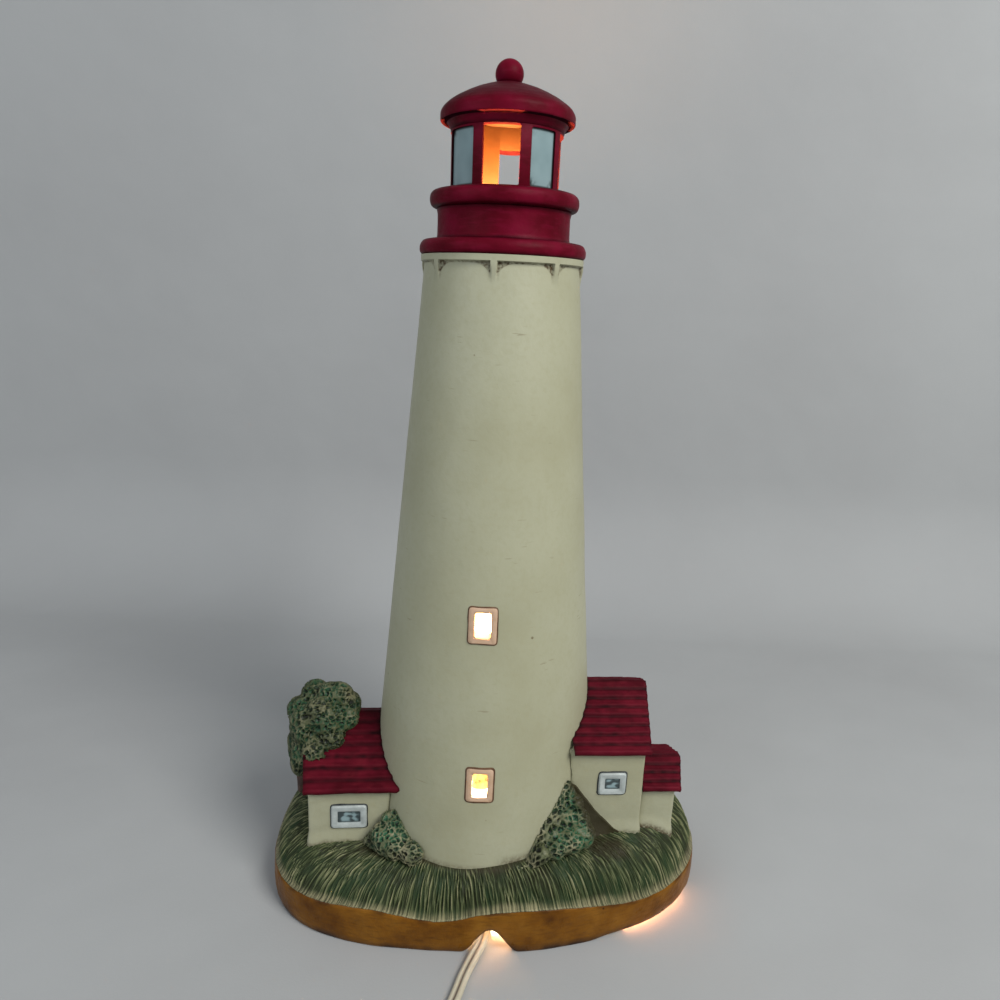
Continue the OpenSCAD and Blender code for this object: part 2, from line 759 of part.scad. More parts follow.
module right_cottage_walls() {
    color(cream) at_tower()
    difference() {
        rotate([0, 0, right_turn]) translate([0, -right_shift, 0])
        difference() {
            along_x(20, right_end) house_end(right_half, right_foot_z, right_eave_z, right_gable_h);
            along_x(0, right_end - cottage_wall)
                polygon([[-right_half + cottage_wall, 0], [right_half - cottage_wall, 0],
                    [right_half - cottage_wall, right_eave_z + right_gable_h + past],
                    [-right_half + cottage_wall, right_eave_z + right_gable_h + past]]);
        }
        tower_solid(seam, tower_foot_z - past, tower_h);
    }
}

module right_cottage_roof() {
    end_x = right_end + gable_out;
    color(burgundy) at_tower()
    difference() {
        rotate([0, 0, right_turn]) translate([0, -right_shift, 0])
        difference() {
            translate([0, 0, seam]) along_x(20, end_x + ridge_out)
                roof_end(right_half, right_eave_z, right_gable_h, right_courses);
            rake_trim(end_x, right_half, 1);
        }
        tower_solid(seam, tower_foot_z, tower_h);
    }
}

module right_cottage_window() {
    middle_z = right_eave_z - 18.5;
    // A little past halfway along the wall that shows between the tower and the corner
    start_x = tower_reach(middle_z, right_half + right_shift);
    middle_x = start_x + 0.55 * (right_end - start_x);
    color("white") at_tower() rotate([0, 0, right_turn])
        translate([middle_x, -right_half - right_shift, middle_z]) cottage_window(right_window_w);
}

module lean_to_walls() {
    color(cream) at_tower()
    rotate([0, 0, right_turn]) translate([0, -lean_shift, 0])
    difference() {
        along_x(right_end + seam, lean_end)
            house_end(lean_half, lean_foot_z, lean_eave_z, lean_gable_h);
        along_x(right_end - past, lean_end - cottage_wall)
            polygon([[-lean_half + cottage_wall, 0], [lean_half - cottage_wall, 0],
                [lean_half - cottage_wall, lean_eave_z + lean_gable_h + past],
                [-lean_half + cottage_wall, lean_eave_z + lean_gable_h + past]]);
    }
}

module lean_to_roof() {
    end_x = lean_end + gable_out;
    color(burgundy) at_tower()
    rotate([0, 0, right_turn]) translate([0, -lean_shift, 0])
    difference() {
        translate([0, 0, seam]) along_x(right_end + seam, end_x + ridge_out)
            roof_end(lean_half, lean_eave_z, lean_gable_h, lean_courses);
        rake_trim(end_x, lean_half, 1);
    }
}

// Tuft of leaves: a small lump with its tip turned outwards
module tuft(r, tip) {
    hull() {
        sphere(r = r, $fn = 12);
        translate(tip) sphere(r = 0.7 * r, $fn = 12);
    }
}

// Direction number i of n, spread evenly over a ball by the golden angle
function spread(i, n) =
    let (z = 1 - (2 * i + 1) / n, r = sqrt(1 - z * z), a = i * 137.508)
    [r * cos(a), r * sin(a), z];

// The crown fills the room between the tower and the island's end
tree_r = (base_half_x + tower_x - tree_verge - tower_r(tree_z) - tree_gap) / 2;
tree_x = tower_r(tree_z) + tree_gap + tree_r;
// The trunk stands just outside the gable end
tree_y = -9;
trunk_x = left_end + trunk_r + 3;
module trunk_form(gap) {
    foot_z = rim_h + 15;
    top_z = tree_z - 0.6 * tree_half_h;
    translate([-trunk_x, 0, foot_z])
        cylinder(r1 = trunk_r + 1 + gap, r2 = trunk_r + gap, h = top_z - foot_z + gap, $fn = 24);
}

module tree_crown() {
    tufts = 18;
    reach = [tree_r - tuft_r, tree_r - tuft_r, tree_half_h - tuft_r];
    core = 0.72;
    roof_top = roof_thin + tile_step + 0.5;
    color(leaf_green) at_tower()
    difference() {
        translate([-tree_x, tree_y, tree_z])
        union() {
            scale([core * tree_r, core * tree_r, core * tree_half_h]) sphere(r = 1, $fn = 20);
            for (i = [0 : tufts - 1])
                let (d = spread(i, tufts))
                translate([d[0] * reach[0], d[1] * reach[1], d[2] * reach[2]]) tuft(tuft_r, 1.6 * d);
        }
        // Room for the cottage and its roof under the crown
        rotate([0, 0, left_turn]) along_x(-left_end - gable_out - ridge_out - seam, -20)
            house_end(left_half + eave_out + past, 0, left_eave_z - eave_out * 0.6 + roof_top,
                left_gable_h * 1.1 + 2.2);
        tower_solid(seam, tower_foot_z, tower_h);
        trunk_form(seam);
    }
}

module tree_trunk() {
    color(soil_brown) at_tower() trunk_form(0);
}

module bush_trim() {
    difference() {
        children();
        translate([-tower_x, 0, 0]) ground_form(0.4);
        tower_solid(seam, tower_foot_z, tower_h);
        left_plot(seam);
        right_plot(seam);
    }
}

// Point at an angle round the tower, so far outside its wall and so far above the soil
function by_tower(a, out, rise) =
    let (z = soil_top(a) + rise) polar(tower_r(z) + out, a, z);

// Row of tufts laid from one point to another, with the size running from r0 to r1
module tuft_row(from, to, r0, r1, count) {
    for (i = [0 : count - 1])
        let (t = i / (count - 1), side = (i % 2 == 0 ? 1 : -1) * 0.25 * bush_r)
        translate(from + t * (to - from) + [1.2 * side, -0.6 * side, 0.6 * side])
        tuft(r0 + t * (r1 - r0), [0.9 * side, -0.25 * bush_r, 0.15 * bush_r]);
}

// Heap of earth in the corner behind the tufts: its tip, its two ends and its front foot
module mound(tip, end_a, end_b, foot) {
    hull() {
        translate(tip) sphere(r = 0.25 * bush_r, $fn = 12);
        translate(end_a) sphere(r = 0.45 * bush_r, $fn = 12);
        translate(end_b) sphere(r = 0.45 * bush_r, $fn = 12);
        translate(foot) sphere(r = 0.6 * bush_r, $fn = 12);
    }
}

// Bush that fills the corner where a cottage meets the tower and runs on round the tower.
// corner is that corner's angle, front the side on which the bush lies, reach how far it runs.
module corner_bush(corner, front, reach, h, count) {
    tip_a = corner + 5 * front;
    mid_a = corner + (5 + reach / 5) * front;
    end_a = corner + reach * front;
    mound(by_tower(tip_a, 0, h), by_tower(corner - 2 * front, 1.3 * bush_r, 0),
        by_tower(end_a, 0.2 * bush_r, -0.25 * bush_r), by_tower(mid_a, 0.8 * bush_r, 0));
    tuft_row(by_tower(tip_a, 0.9 * bush_r, 0.5 * bush_r), by_tower(tip_a, 0, 0.73 * h),
        bush_r, 0.7 * bush_r, count);
    tuft_row(by_tower(mid_a, 0.7 * bush_r, 0.4 * bush_r), by_tower(end_a, 0.2 * bush_r, 0),
        bush_r, 0.8 * bush_r, count);
}

module left_bush() {
    corner = -180 + asin(left_half / tower_foot_r) + left_turn;
    color(leaf_green) at_tower() bush_trim() corner_bush(corner, 1, 22, left_bush_h, 4);
}

module right_bushes() {
    corner = -asin((right_half + right_shift) / tower_foot_r) + right_turn;
    color(leaf_green) at_tower() bush_trim() corner_bush(corner, -1, 31, right_bush_h, 6);
}

// Light kit: a steel pan on felt carries the pipe and the socket
felt_top = felt_h;
pan_top = felt_h + pan_h;
pipe_z = pan_top - pan_sheet - nut_h - 0.4;
pipe_top = pan_top + pipe_len;
hole_z = felt_h + 4.4;
hole_r = 3.6;

module pan_felt() {
    color("dimgray") at_tower()
    difference() {
        cylinder(r = pan_r, h = felt_h, $fn = round_fn);
        translate([0, 0, -past]) cylinder(r = pan_r - felt_w, h = felt_h + 2 * past, $fn = round_fn);
    }
}

// Half section of the pan: flat top, rounded shoulder, straight skirt, turned-in foot
module pan_base() {
    shoulder = 3;
    foot_in = pan_r - felt_w + 1.4;
    corner = function (r) [for (i = [0 : 6]) [pan_r - shoulder + r * cos(i * 15),
        pan_top - shoulder + r * sin(i * 15)]];
    color(steel) at_tower()
    difference() {
        rotate_extrude($fn = round_fn)
            polygon(concat([[foot_in, felt_h], [pan_r, felt_h]], corner(shoulder),
                [[pipe_r + 0.2, pan_top], [pipe_r + 0.2, pan_top - pan_sheet]],
                [for (i = [6 : -1 : 0]) corner(shoulder - pan_sheet)[i]],
                [[pan_r - pan_sheet, felt_h + pan_sheet], [foot_in, felt_h + pan_sheet]]));
        rotate([0, 0, exit_turn]) translate([0, 0, hole_z]) rotate([90, 0, 0])
            cylinder(r = hole_r, h = pan_r + past, $fn = 48);
    }
}

module lamp_pipe() {
    color(brass_yellow) at_tower()
    translate([0, 0, pipe_z])
    difference() {
        cylinder(r = pipe_r, h = pipe_top - pipe_z, $fn = 48);
        translate([0, 0, -past])
            cylinder(r = pipe_r - pipe_wall, h = pipe_top - pipe_z + 2 * past, $fn = 48);
    }
}

module locknut(z) {
    thread_gap = 0.08;
    translate([0, 0, z])
    difference() {
        cylinder(r = nut_flats / 2 / cos(30), h = nut_h, $fn = 6);
        translate([0, 0, -past]) cylinder(r = pipe_r + thread_gap, h = nut_h + 2 * past, $fn = 48);
    }
}

module pipe_nuts() {
    color(brass_yellow) at_tower() {
        locknut(pan_top - pan_sheet - nut_h);
        locknut(pan_top);
    }
}

// Section of the flat cord: two round cores side by side, width along the first axis
core_x = (cord_w - cord_t) / 2;
module cord_section(grow) {
    for (x = [-1, 1]) translate([x * core_x, 0]) circle(r = cord_t / 2 + grow, $fn = 32);
    square([2 * core_x, cord_t + 2 * grow], center = true);
}

relief_tip_y = -pan_r - relief_len;
module cord_relief() {
    collar_r = 4.8;
    collar_t = 1.5;
    collar_gap = 0.1;
    sleeve_in = 4;
    sleeve_len = sleeve_in + collar_gap + collar_t / 2;
    color(ivory) at_tower()
    rotate([0, 0, exit_turn]) translate([0, 0, hole_z])
    rotate([90, 0, 0])
    difference() {
        union() {
            // Sleeve through the pan's skirt, collar outside it, and the taper
            translate([0, 0, pan_r - sleeve_in]) cylinder(r = hole_r - seam, h = sleeve_len, $fn = 48);
            translate([0, 0, pan_r + collar_gap]) cylinder(r = collar_r, h = collar_t, $fn = 48);
            translate([0, 0, pan_r + collar_gap + collar_t])
                cylinder(r1 = collar_r - 0.4, r2 = cord_w / 2 + 0.7,
                    h = relief_len - collar_t - collar_gap, $fn = 48);
        }
        linear_extrude(height = pan_r + relief_len + past) cord_section(0.05);
    }
}

socket_z = pipe_top - 6;
body_z = socket_z + socket_cap_h;
shell_r = cap_r + bulb_clear + shell_sheet;
floor_h = 6;
module socket_cap() {
    color("dimgray") at_tower()
    difference() {
        translate([0, 0, socket_z]) cylinder(r = socket_r, h = socket_cap_h, $fn = 64);
        translate([0, 0, socket_z - past]) cylinder(r = pipe_r + 0.08, h = 6 + past, $fn = 48);
        translate([0, 0, socket_z]) cylinder(r = pipe_r - pipe_wall, h = socket_cap_h + past, $fn = 48);
    }
}

module socket_body() {
    color("dimgray") at_tower()
    difference() {
        translate([0, 0, body_z]) cylinder(r = socket_r - 0.4, h = socket_h, $fn = 64);
        translate([0, 0, body_z + floor_h])
            cylinder(r = shell_r + seam, h = socket_h, $fn = 64);
        translate([0, 0, body_z - past]) cylinder(r = pipe_r - pipe_wall, h = 3 + past, $fn = 48);
    }
}

module screw_shell() {
    shell_z = body_z + floor_h;
    color(brass_yellow) at_tower()
    difference() {
        translate([0, 0, shell_z]) cylinder(r = shell_r, h = socket_h - floor_h - 6, $fn = 64);
        translate([0, 0, shell_z + shell_sheet])
            cylinder(r = shell_r - shell_sheet, h = socket_h, $fn = 64);
        translate([0, 0, shell_z - past]) cylinder(r = 3.2, h = 3 * past, $fn = 48);
    }
}

// Sprung tongue under the bulb's tip
contact_z = body_z + floor_h;
module centre_contact() {
    color(brass_yellow) at_tower()
    translate([0, 0, contact_z]) cylinder(r1 = 2.6, r2 = 1.8, h = 2.4, $fn = 32);
}

tip_z = contact_z + 2.4 + bulb_clear;
insulator_z = tip_z + 1.2;
cap_z = insulator_z + 1.8;
neck_z = cap_z + cap_h;
neck_r = cap_r - 0.65;
neck_in = 6;
module bulb_insulator() {
    color("black") at_tower()
    translate([0, 0, insulator_z])
    difference() {
        cylinder(r1 = 3.2, r2 = cap_r - 0.6, h = 1.8, $fn = 48);
        translate([0, 0, -past]) cylinder(r = 1, h = 3 + past, $fn = 24);
    }
}

module bulb_cap() {
    sheet = 0.5;
    color(brass_yellow) at_tower()
    difference() {
        translate([0, 0, cap_z]) cylinder(r = cap_r, h = cap_h, $fn = 64);
        translate([0, 0, cap_z + sheet]) cylinder(r = cap_r - sheet, h = cap_h, $fn = 64);
        translate([0, 0, cap_z - past]) cylinder(r = 1, h = 3 * past, $fn = 24);
    }
}

// Candle-shaped glass: from the neck it swells, then draws in to a blunt point
function bulb_profile(inset) =
    let (r = bulb_r - inset, h = bulb_h - inset, r0 = neck_r - inset, wide = 0.38)
    [for (i = [0 : 14]) let (t = i / 14,
        swell = t < wide ? (1 - cos(180 * t / wide)) / 2 : cos(90 * pow((t - wide) / (1 - wide), 1.35)))
        [i == 14 ? 0 : t < wide ? r0 * (1 - swell) + r * swell : r * swell, h * t]];

module bulb_glass() {
    color([1, 0.85, 0.6, 0.5]) at_tower()
    translate([0, 0, neck_z])
    rotate_extrude($fn = 64)
        polygon(concat([[neck_r - glass_t, -neck_in], [neck_r, -neck_in]], bulb_profile(0),
            [for (i = [14 : -1 : 0]) bulb_profile(glass_t)[i]]));
}

// Solder tip, lead wire, glass stem, and the filament on its two wires
module bulb_mount() {
    foot_z = neck_z - neck_in;
    stem_top = neck_z + 8;
    wire_r = 0.4;
    foot_x = 1.2;
    top_x = 3.2;
    wire_top = neck_z + 0.45 * bulb_h;
    tilt = atan((top_x - foot_x) / (wire_top - stem_top));
    color(steel) at_tower() {
        translate([0, 0, tip_z]) cylinder(r1 = 1.4, r2 = 2, h = insulator_z - tip_z, $fn = 32);
        translate([0, 0, insulator_z - 0.5]) cylinder(r = 0.6, h = foot_z - insulator_z + 1, $fn = 24);
        translate([0, 0, foot_z]) cylinder(r1 = neck_r - glass_t - 0.1, r2 = 2.2, h = 3, $fn = 32);
        translate([0, 0, foot_z]) cylinder(r = 2.2, h = stem_top - foot_z, $fn = 32);
        for (x = [-1, 1])
            translate([x * foot_x, 0, stem_top - 0.5]) rotate([0, x * tilt, 0])
                cylinder(r = wire_r, h = (wire_top - stem_top) / cos(tilt) + 0.6, $fn = 16);
        translate([-top_x - 0.3, 0, wire_top]) rotate([0, 90, 0])
            cylinder(r = 0.6, h = 2 * top_x + 0.6, $fn = 16);
    }
}

// Cord inside the kit: under the pan, round a bend and up the pipe to the socket
inside_bend = 9;
module cord_inside() {
    bend_z = hole_z + inside_bend;
    color(ivory) at_tower() rotate([0, 0, exit_turn]) {
        translate([0, -inside_bend, hole_z]) rotate([90, 0, 0])
            linear_extrude(height = -inside_bend - relief_tip_y) cord_section(0);
        translate([0, -inside_bend, bend_z]) rotate([0, 90, 0])
            rotate_extrude(angle = 90, $fn = round_fn)
            translate([inside_bend, 0]) rotate([0, 0, 90]) cord_section(0);
        translate([0, 0, bend_z]) linear_extrude(height = body_z + 2 - bend_z)
            cord_section(0);
    }
}

// Free cord: sections stand across a route of points, with the width level.
// Each route point is a round number in millimetres, chosen by hand.
run_route = [[0.4, -58, 5.2], [0.6, -60.5, 5], [0.3, -63, 4.4], [-0.8, -66, 3.4], [-2.4, -69, 2.6],
    [-4.2, -72.8, 1.9], [-6, -77, 1.55], [-7.8, -82, 1.45], [-9.5, -88, 1.45], [-11.4, -94, 1.45],
    [-14.6, -101, 1.45], [-20, -108, 1.45], [-27.5, -114, 1.45], [-35.5, -119.2, 1.45],
    [-43, -125, 1.5], [-48.7, -132, 2.4], [-52.2, -139.5, 4.2], [-53.8, -146, 6.3], [-54, -151, 7]];
lead_route = [[-54, -203, 7], [-54, -207, 6.6], [-52.6, -212, 4.6], [-48.5, -218, 2.4],
    [-42, -223, 1.5], [-34, -225, 1.45], [-26, -223.5, 1.45], [-18, -218, 1.45],
    [-12.5, -210, 1.45], [-10, -200, 1.45], [-9.5, -190, 1.45], [-9.5, -178, 1.45],
    [-9.5, -167, 1.45], [-9.4, -160.4, 1.45]];
tail_route = [[69.5, -134.8, 4.65], [72.2, -138.4, 4.65], [76, -143.8, 4.5], [80, -149.7, 4.4],
    [84, -156, 4.6], [87, -162, 5.4], [88.7, -166, 6.3], [89, -168.6, 6.5], [89, -171, 6.5]];

function unit(v) = v / norm(v);
function level_ring(p, dir, sides) =
    let (ahead = unit([dir[0], dir[1], 0]), across = [ahead[1], -ahead[0], 0],
         slant = unit(dir), up = cross(across, slant))
    [for (q = cord_outline(sides)) p + q[0] * across + q[1] * up];
// Outline of the flat cord with 6 or 10 corners
function cord_outline(sides) = sides == 6
    ? [[core_x + cord_t / 2, 0], [core_x, cord_t / 2], [-core_x, cord_t / 2],
       [-core_x - cord_t / 2, 0], [-core_x, -cord_t / 2], [core_x, -cord_t / 2]]
    : [for (i = [0 : 9]) let (right = i < 5, a = right ? -90 + i * 45 : 90 + (i - 5) * 45)
        [(right ? core_x : -core_x) + cord_t / 2 * cos(a), cord_t / 2 * sin(a)]];
function route_dir(route, i) =
    let (last = len(route) - 1) route[min(last, i + 1)] - route[max(0, i - 1)];
module cord_tube(route) {
    open_sweep([for (i = [0 : len(route) - 1]) level_ring(route[i], route_dir(route, i), 10)]);
}

module cord_run() {
    color(ivory) cord_tube(run_route);
}
module cord_lead() {
    color(ivory) cord_tube(lead_route);
}
module cord_tail() {
    color(ivory) cord_tube(tail_route);
}

// Stored coil: it spirals in on the table and out again one layer up, in one tube.
// The climb takes the half turn round the reversal.
coil_at = [32.45, -155];
coil_start_deg = 180;
coil_rings = 24;
layer_turns = coil_turns / 2;
turn_pitch = cord_w + coil_gap;
layer_pitch = cord_t + coil_gap;
coil_out_r = coil_r + turn_pitch * layer_turns / 2;
coil_low_z = cord_t / 2 + 0.1;
function coil_radius(t) = coil_out_r - turn_pitch * (t < layer_turns ? t : coil_turns - t);
function smooth(x) = let (c = max(0, min(1, x))) c * c * (3 - 2 * c);
function coil_point(t) =
    let (a = coil_start_deg - 360 * t, r = coil_radius(t),
         rise = smooth((t - layer_turns + 0.25) * 2))
    [coil_at[0] + r * cos(a), coil_at[1] + r * sin(a), coil_low_z + layer_pitch * rise];
coil_steps = round(coil_turns * coil_rings);
coil_path = [for (i = [0 : coil_steps]) coil_point(coil_turns * i / coil_steps)];
function coil_dir(i) =
    let (t = coil_turns * i / coil_steps, step = 0.002)
    unit(coil_point(t + step) - coil_point(t - step));
coil_end = coil_path[coil_steps] + cord_w * coil_dir(coil_steps);
coil_tube = concat(
    [level_ring(coil_path[0] - cord_w * coil_dir(0), coil_dir(0), 6)],
    [for (i = [0 : coil_steps]) level_ring(coil_path[i], coil_dir(i), 6)],
    [level_ring(coil_end, coil_dir(coil_steps), 6)]);

// Least gap of the coil to itself, measured between the cores of rings half a turn or more apart
function ring_cores(i) =
    let (d = unit([coil_dir(i)[0], coil_dir(i)[1], 0]), across = [d[1], -d[0], 0])
    [for (s = [-1, -0.5, 0, 0.5, 1]) coil_path[i] + s * core_x * across];
coil_cores = [for (i = [0 : coil_steps]) ring_cores(i)];
coil_self_gap = min([for (i = [0 : coil_steps - 12], j = [i + 12 : coil_steps])
    if (norm(coil_path[i] - coil_path[j]) < 3 * cord_w)
        min([for (p = coil_cores[i], q = coil_cores[j]) norm(p - q)])]) - cord_t;

module cord_coil() {
    echo(coil_self_gap = coil_self_gap, coil_first = coil_path[0] - cord_w * coil_dir(0),
        coil_first_dir = coil_dir(0), coil_last = coil_end, coil_last_dir = coil_dir(coil_steps));
    color(ivory) open_sweep(coil_tube);
}

// Inline switch: two housing halves, a screw and the thumb wheel on its axle
switch_at = [-54, -151, 0];
switch_split = 7.2;
switch_cord_z = 7;
wheel_at = [0, -switch_len / 2];
module switch_outline(inset) {
    end_w = 9;
    points = [[-end_w / 2, 0], [end_w / 2, 0], [switch_w / 2, -9], [switch_w / 2, -switch_len + 9],
        [end_w / 2, -switch_len], [-end_w / 2, -switch_len], [-switch_w / 2, -switch_len + 9],
        [-switch_w / 2, -9]];
    grow = (switch_w - 2 * inset) / switch_w;
    polygon([for (p = points) [p[0] * grow,
        max(-switch_len + inset, min(-inset, p[1]))]]);
}
boss_y = -switch_len / 2 - 15;
slot_r = wheel_r + wheel_clear;
module switch_slots() {
    // Cord entries at both ends, the wheel's slot at one side and its axle's bearing
    for (y = [past, -switch_len + 5])
        translate([0, y, switch_cord_z]) rotate([90, 0, 0])
        linear_extrude(height = 6) cord_section(0.1);
    translate([switch_w / 2 - 4, -switch_len / 2, switch_cord_z - wheel_t / 2 - wheel_clear])
        cylinder(r = slot_r, h = wheel_t + 2 * wheel_clear, $fn = 64);
}
module switch_half(z0, z1) {
    difference() {
        translate([0, 0, z0]) linear_extrude(height = z1 - z0) switch_outline(0);
        switch_cavity();
        switch_slots();
        translate([switch_w / 2 - 4, -switch_len / 2, switch_cord_z - wheel_t / 2 - 3])
            cylinder(r = axle_r + axle_clear, h = wheel_t + 6, $fn = 32);
        translate([0, boss_y, -past]) cylinder(r = 1.2, h = switch_h + 2 * past, $fn = 32);
        translate([0, boss_y, switch_h - 1.6]) cylinder(r = 2.6, h = 3, $fn = 32);
    }
}
module switch_cavity() {
    difference() {
        translate([0, 0, switch_wall]) linear_extrude(height = switch_h - 2 * switch_wall)
            switch_outline(switch_wall + 2);
        translate([0, boss_y, 0]) cylinder(r = 3.4, h = switch_h, $fn = 32);
        // Bearing blocks on both sides of the wheel
        translate([switch_w / 2 - 4, -switch_len / 2, 0]) cylinder(r = 4, h = switch_h, $fn = 32);
    }
}
module switch_lower() {
    color(ivory) translate(switch_at) switch_half(0, switch_split);
}
module switch_upper() {
    color(ivory) translate(switch_at) switch_half(switch_split, switch_h);
}
module switch_screw() {
    color(steel) translate(switch_at + [0, boss_y, 0]) {
        translate([0, 0, 1.5]) cylinder(r = 1.1, h = switch_h - 3, $fn = 32);
        translate([0, 0, switch_h - 1.55]) cylinder(r = 2.4, h = 1.3, $fn = 32);
    }
}
module switch_wheel() {
    knurls = 20;
    color("dimgray")
    translate(switch_at + [switch_w / 2 - 4, -switch_len / 2, switch_cord_z])
    union() {
        difference() {
            translate([0, 0, -wheel_t / 2]) cylinder(r = wheel_r, h = wheel_t, $fn = 64);
            for (i = [0 : knurls - 1])
                rotate([0, 0, i * 360 / knurls])
                translate([wheel_r + 0.3, 0, -wheel_t / 2 - past])
                cylinder(r = 0.7, h = wheel_t + 2 * past, $fn = 16);
        }
        translate([0, 0, -wheel_t / 2 - 2.8]) cylinder(r = axle_r, h = wheel_t + 5.6, $fn = 32);
    }
}

// Moulded two-blade plug that lies beside the coil, blades to the front
plug_at = [89, -171, plug_h / 2];
module plug_body() {
    color(ivory)
    translate(plug_at)
    hull() {
        rotate([90, 0, 0]) linear_extrude(height = 0.1) rounded_rect(cord_w + 2, cord_t + 2, 1.5);
        translate([0, -plug_taper, 0]) rotate([90, 0, 0])
            linear_extrude(height = 0.1) rounded_rect(plug_w - 4, plug_h - 3, 3);
        translate([0, -plug_taper - plug_len, 0]) rotate([90, 0, 0])
            linear_extrude(height = 0.1) rounded_rect(plug_w, plug_h, 3);
    }
}

blade_t = 1.5;
blade_h = 6.35;
blade_apart = 12.7;
module plug_blades() {
    face_y = -plug_taper - plug_len - 0.1;
    color(brass_yellow)
    translate(plug_at)
    for (x = [-1, 1])
        difference() {
            translate([x * blade_apart / 2 - blade_t / 2, face_y - blade_len, -blade_h / 2])
                cube([blade_t, blade_len, blade_h]);
            translate([x * blade_apart / 2 - blade_t, face_y - blade_len + 4, 0]) rotate([0, 90, 0])
                cylinder(r = 1.5, h = 2 * blade_t, $fn = 32);
        }
}

base_rim();
grass_skirt();
soil_bed();
tower_shell();
tower_window_frames();
gallery_flange();
lantern_drum();
rail_ring();
lantern_room();
blind_panes();
lantern_roof();
finial_ball();
left_cottage_walls();
left_cottage_roof();
left_cottage_window();
right_cottage_walls();
right_cottage_roof();
right_cottage_window();
lean_to_walls();
lean_to_roof();
tree_crown();
tree_trunk();
left_bush();
right_bushes();
pan_felt();
pan_base();
lamp_pipe();
pipe_nuts();
cord_relief();
socket_cap();
socket_body();
screw_shell();
centre_contact();
bulb_cap();
bulb_insulator();
bulb_glass();
bulb_mount();
cord_inside();
cord_run();
switch_lower();
switch_upper();
switch_screw();
switch_wheel();
cord_lead();
cord_coil();
cord_tail();
plug_body();
plug_blades();
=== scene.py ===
# Looks of the ceramic lighthouse lamp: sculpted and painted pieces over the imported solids.
# Shapes are worked out in millimetres in the model's own frame. new_mesh() and move_to() turn them
# into metres. The stage, the lamps and the camera are in metres.
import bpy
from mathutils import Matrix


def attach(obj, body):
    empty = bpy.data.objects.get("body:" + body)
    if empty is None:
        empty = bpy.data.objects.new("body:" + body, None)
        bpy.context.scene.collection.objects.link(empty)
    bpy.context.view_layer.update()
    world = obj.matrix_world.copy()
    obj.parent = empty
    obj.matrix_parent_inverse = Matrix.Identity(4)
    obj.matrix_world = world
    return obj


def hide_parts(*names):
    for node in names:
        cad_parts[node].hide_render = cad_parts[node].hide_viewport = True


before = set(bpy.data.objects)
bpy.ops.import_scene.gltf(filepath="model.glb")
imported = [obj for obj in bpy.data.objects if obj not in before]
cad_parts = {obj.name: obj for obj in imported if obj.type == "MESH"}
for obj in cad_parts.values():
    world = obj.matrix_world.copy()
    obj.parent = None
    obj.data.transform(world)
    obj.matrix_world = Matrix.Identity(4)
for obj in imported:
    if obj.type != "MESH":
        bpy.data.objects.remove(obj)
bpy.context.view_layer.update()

import math

import bmesh
import bpy
import numpy as np
from mathutils import Matrix, Vector, noise

scene = bpy.context.scene
TAU = 2 * math.pi
TOWER_X = -3.7


# Camera

cam = bpy.data.objects.new("camera", bpy.data.cameras.new("camera"))
cam.data.sensor_width = 36
cam.data.lens = 27.07
cam.matrix_world = (Matrix.Translation((-0.0004, -0.341, 0.287))
                    @ Matrix.Rotation(math.radians(90 - 15.3), 4, "X")
                    @ Matrix.Rotation(math.radians(2.4), 4, "Z"))
scene.collection.objects.link(cam)
scene.camera = cam


# Materials

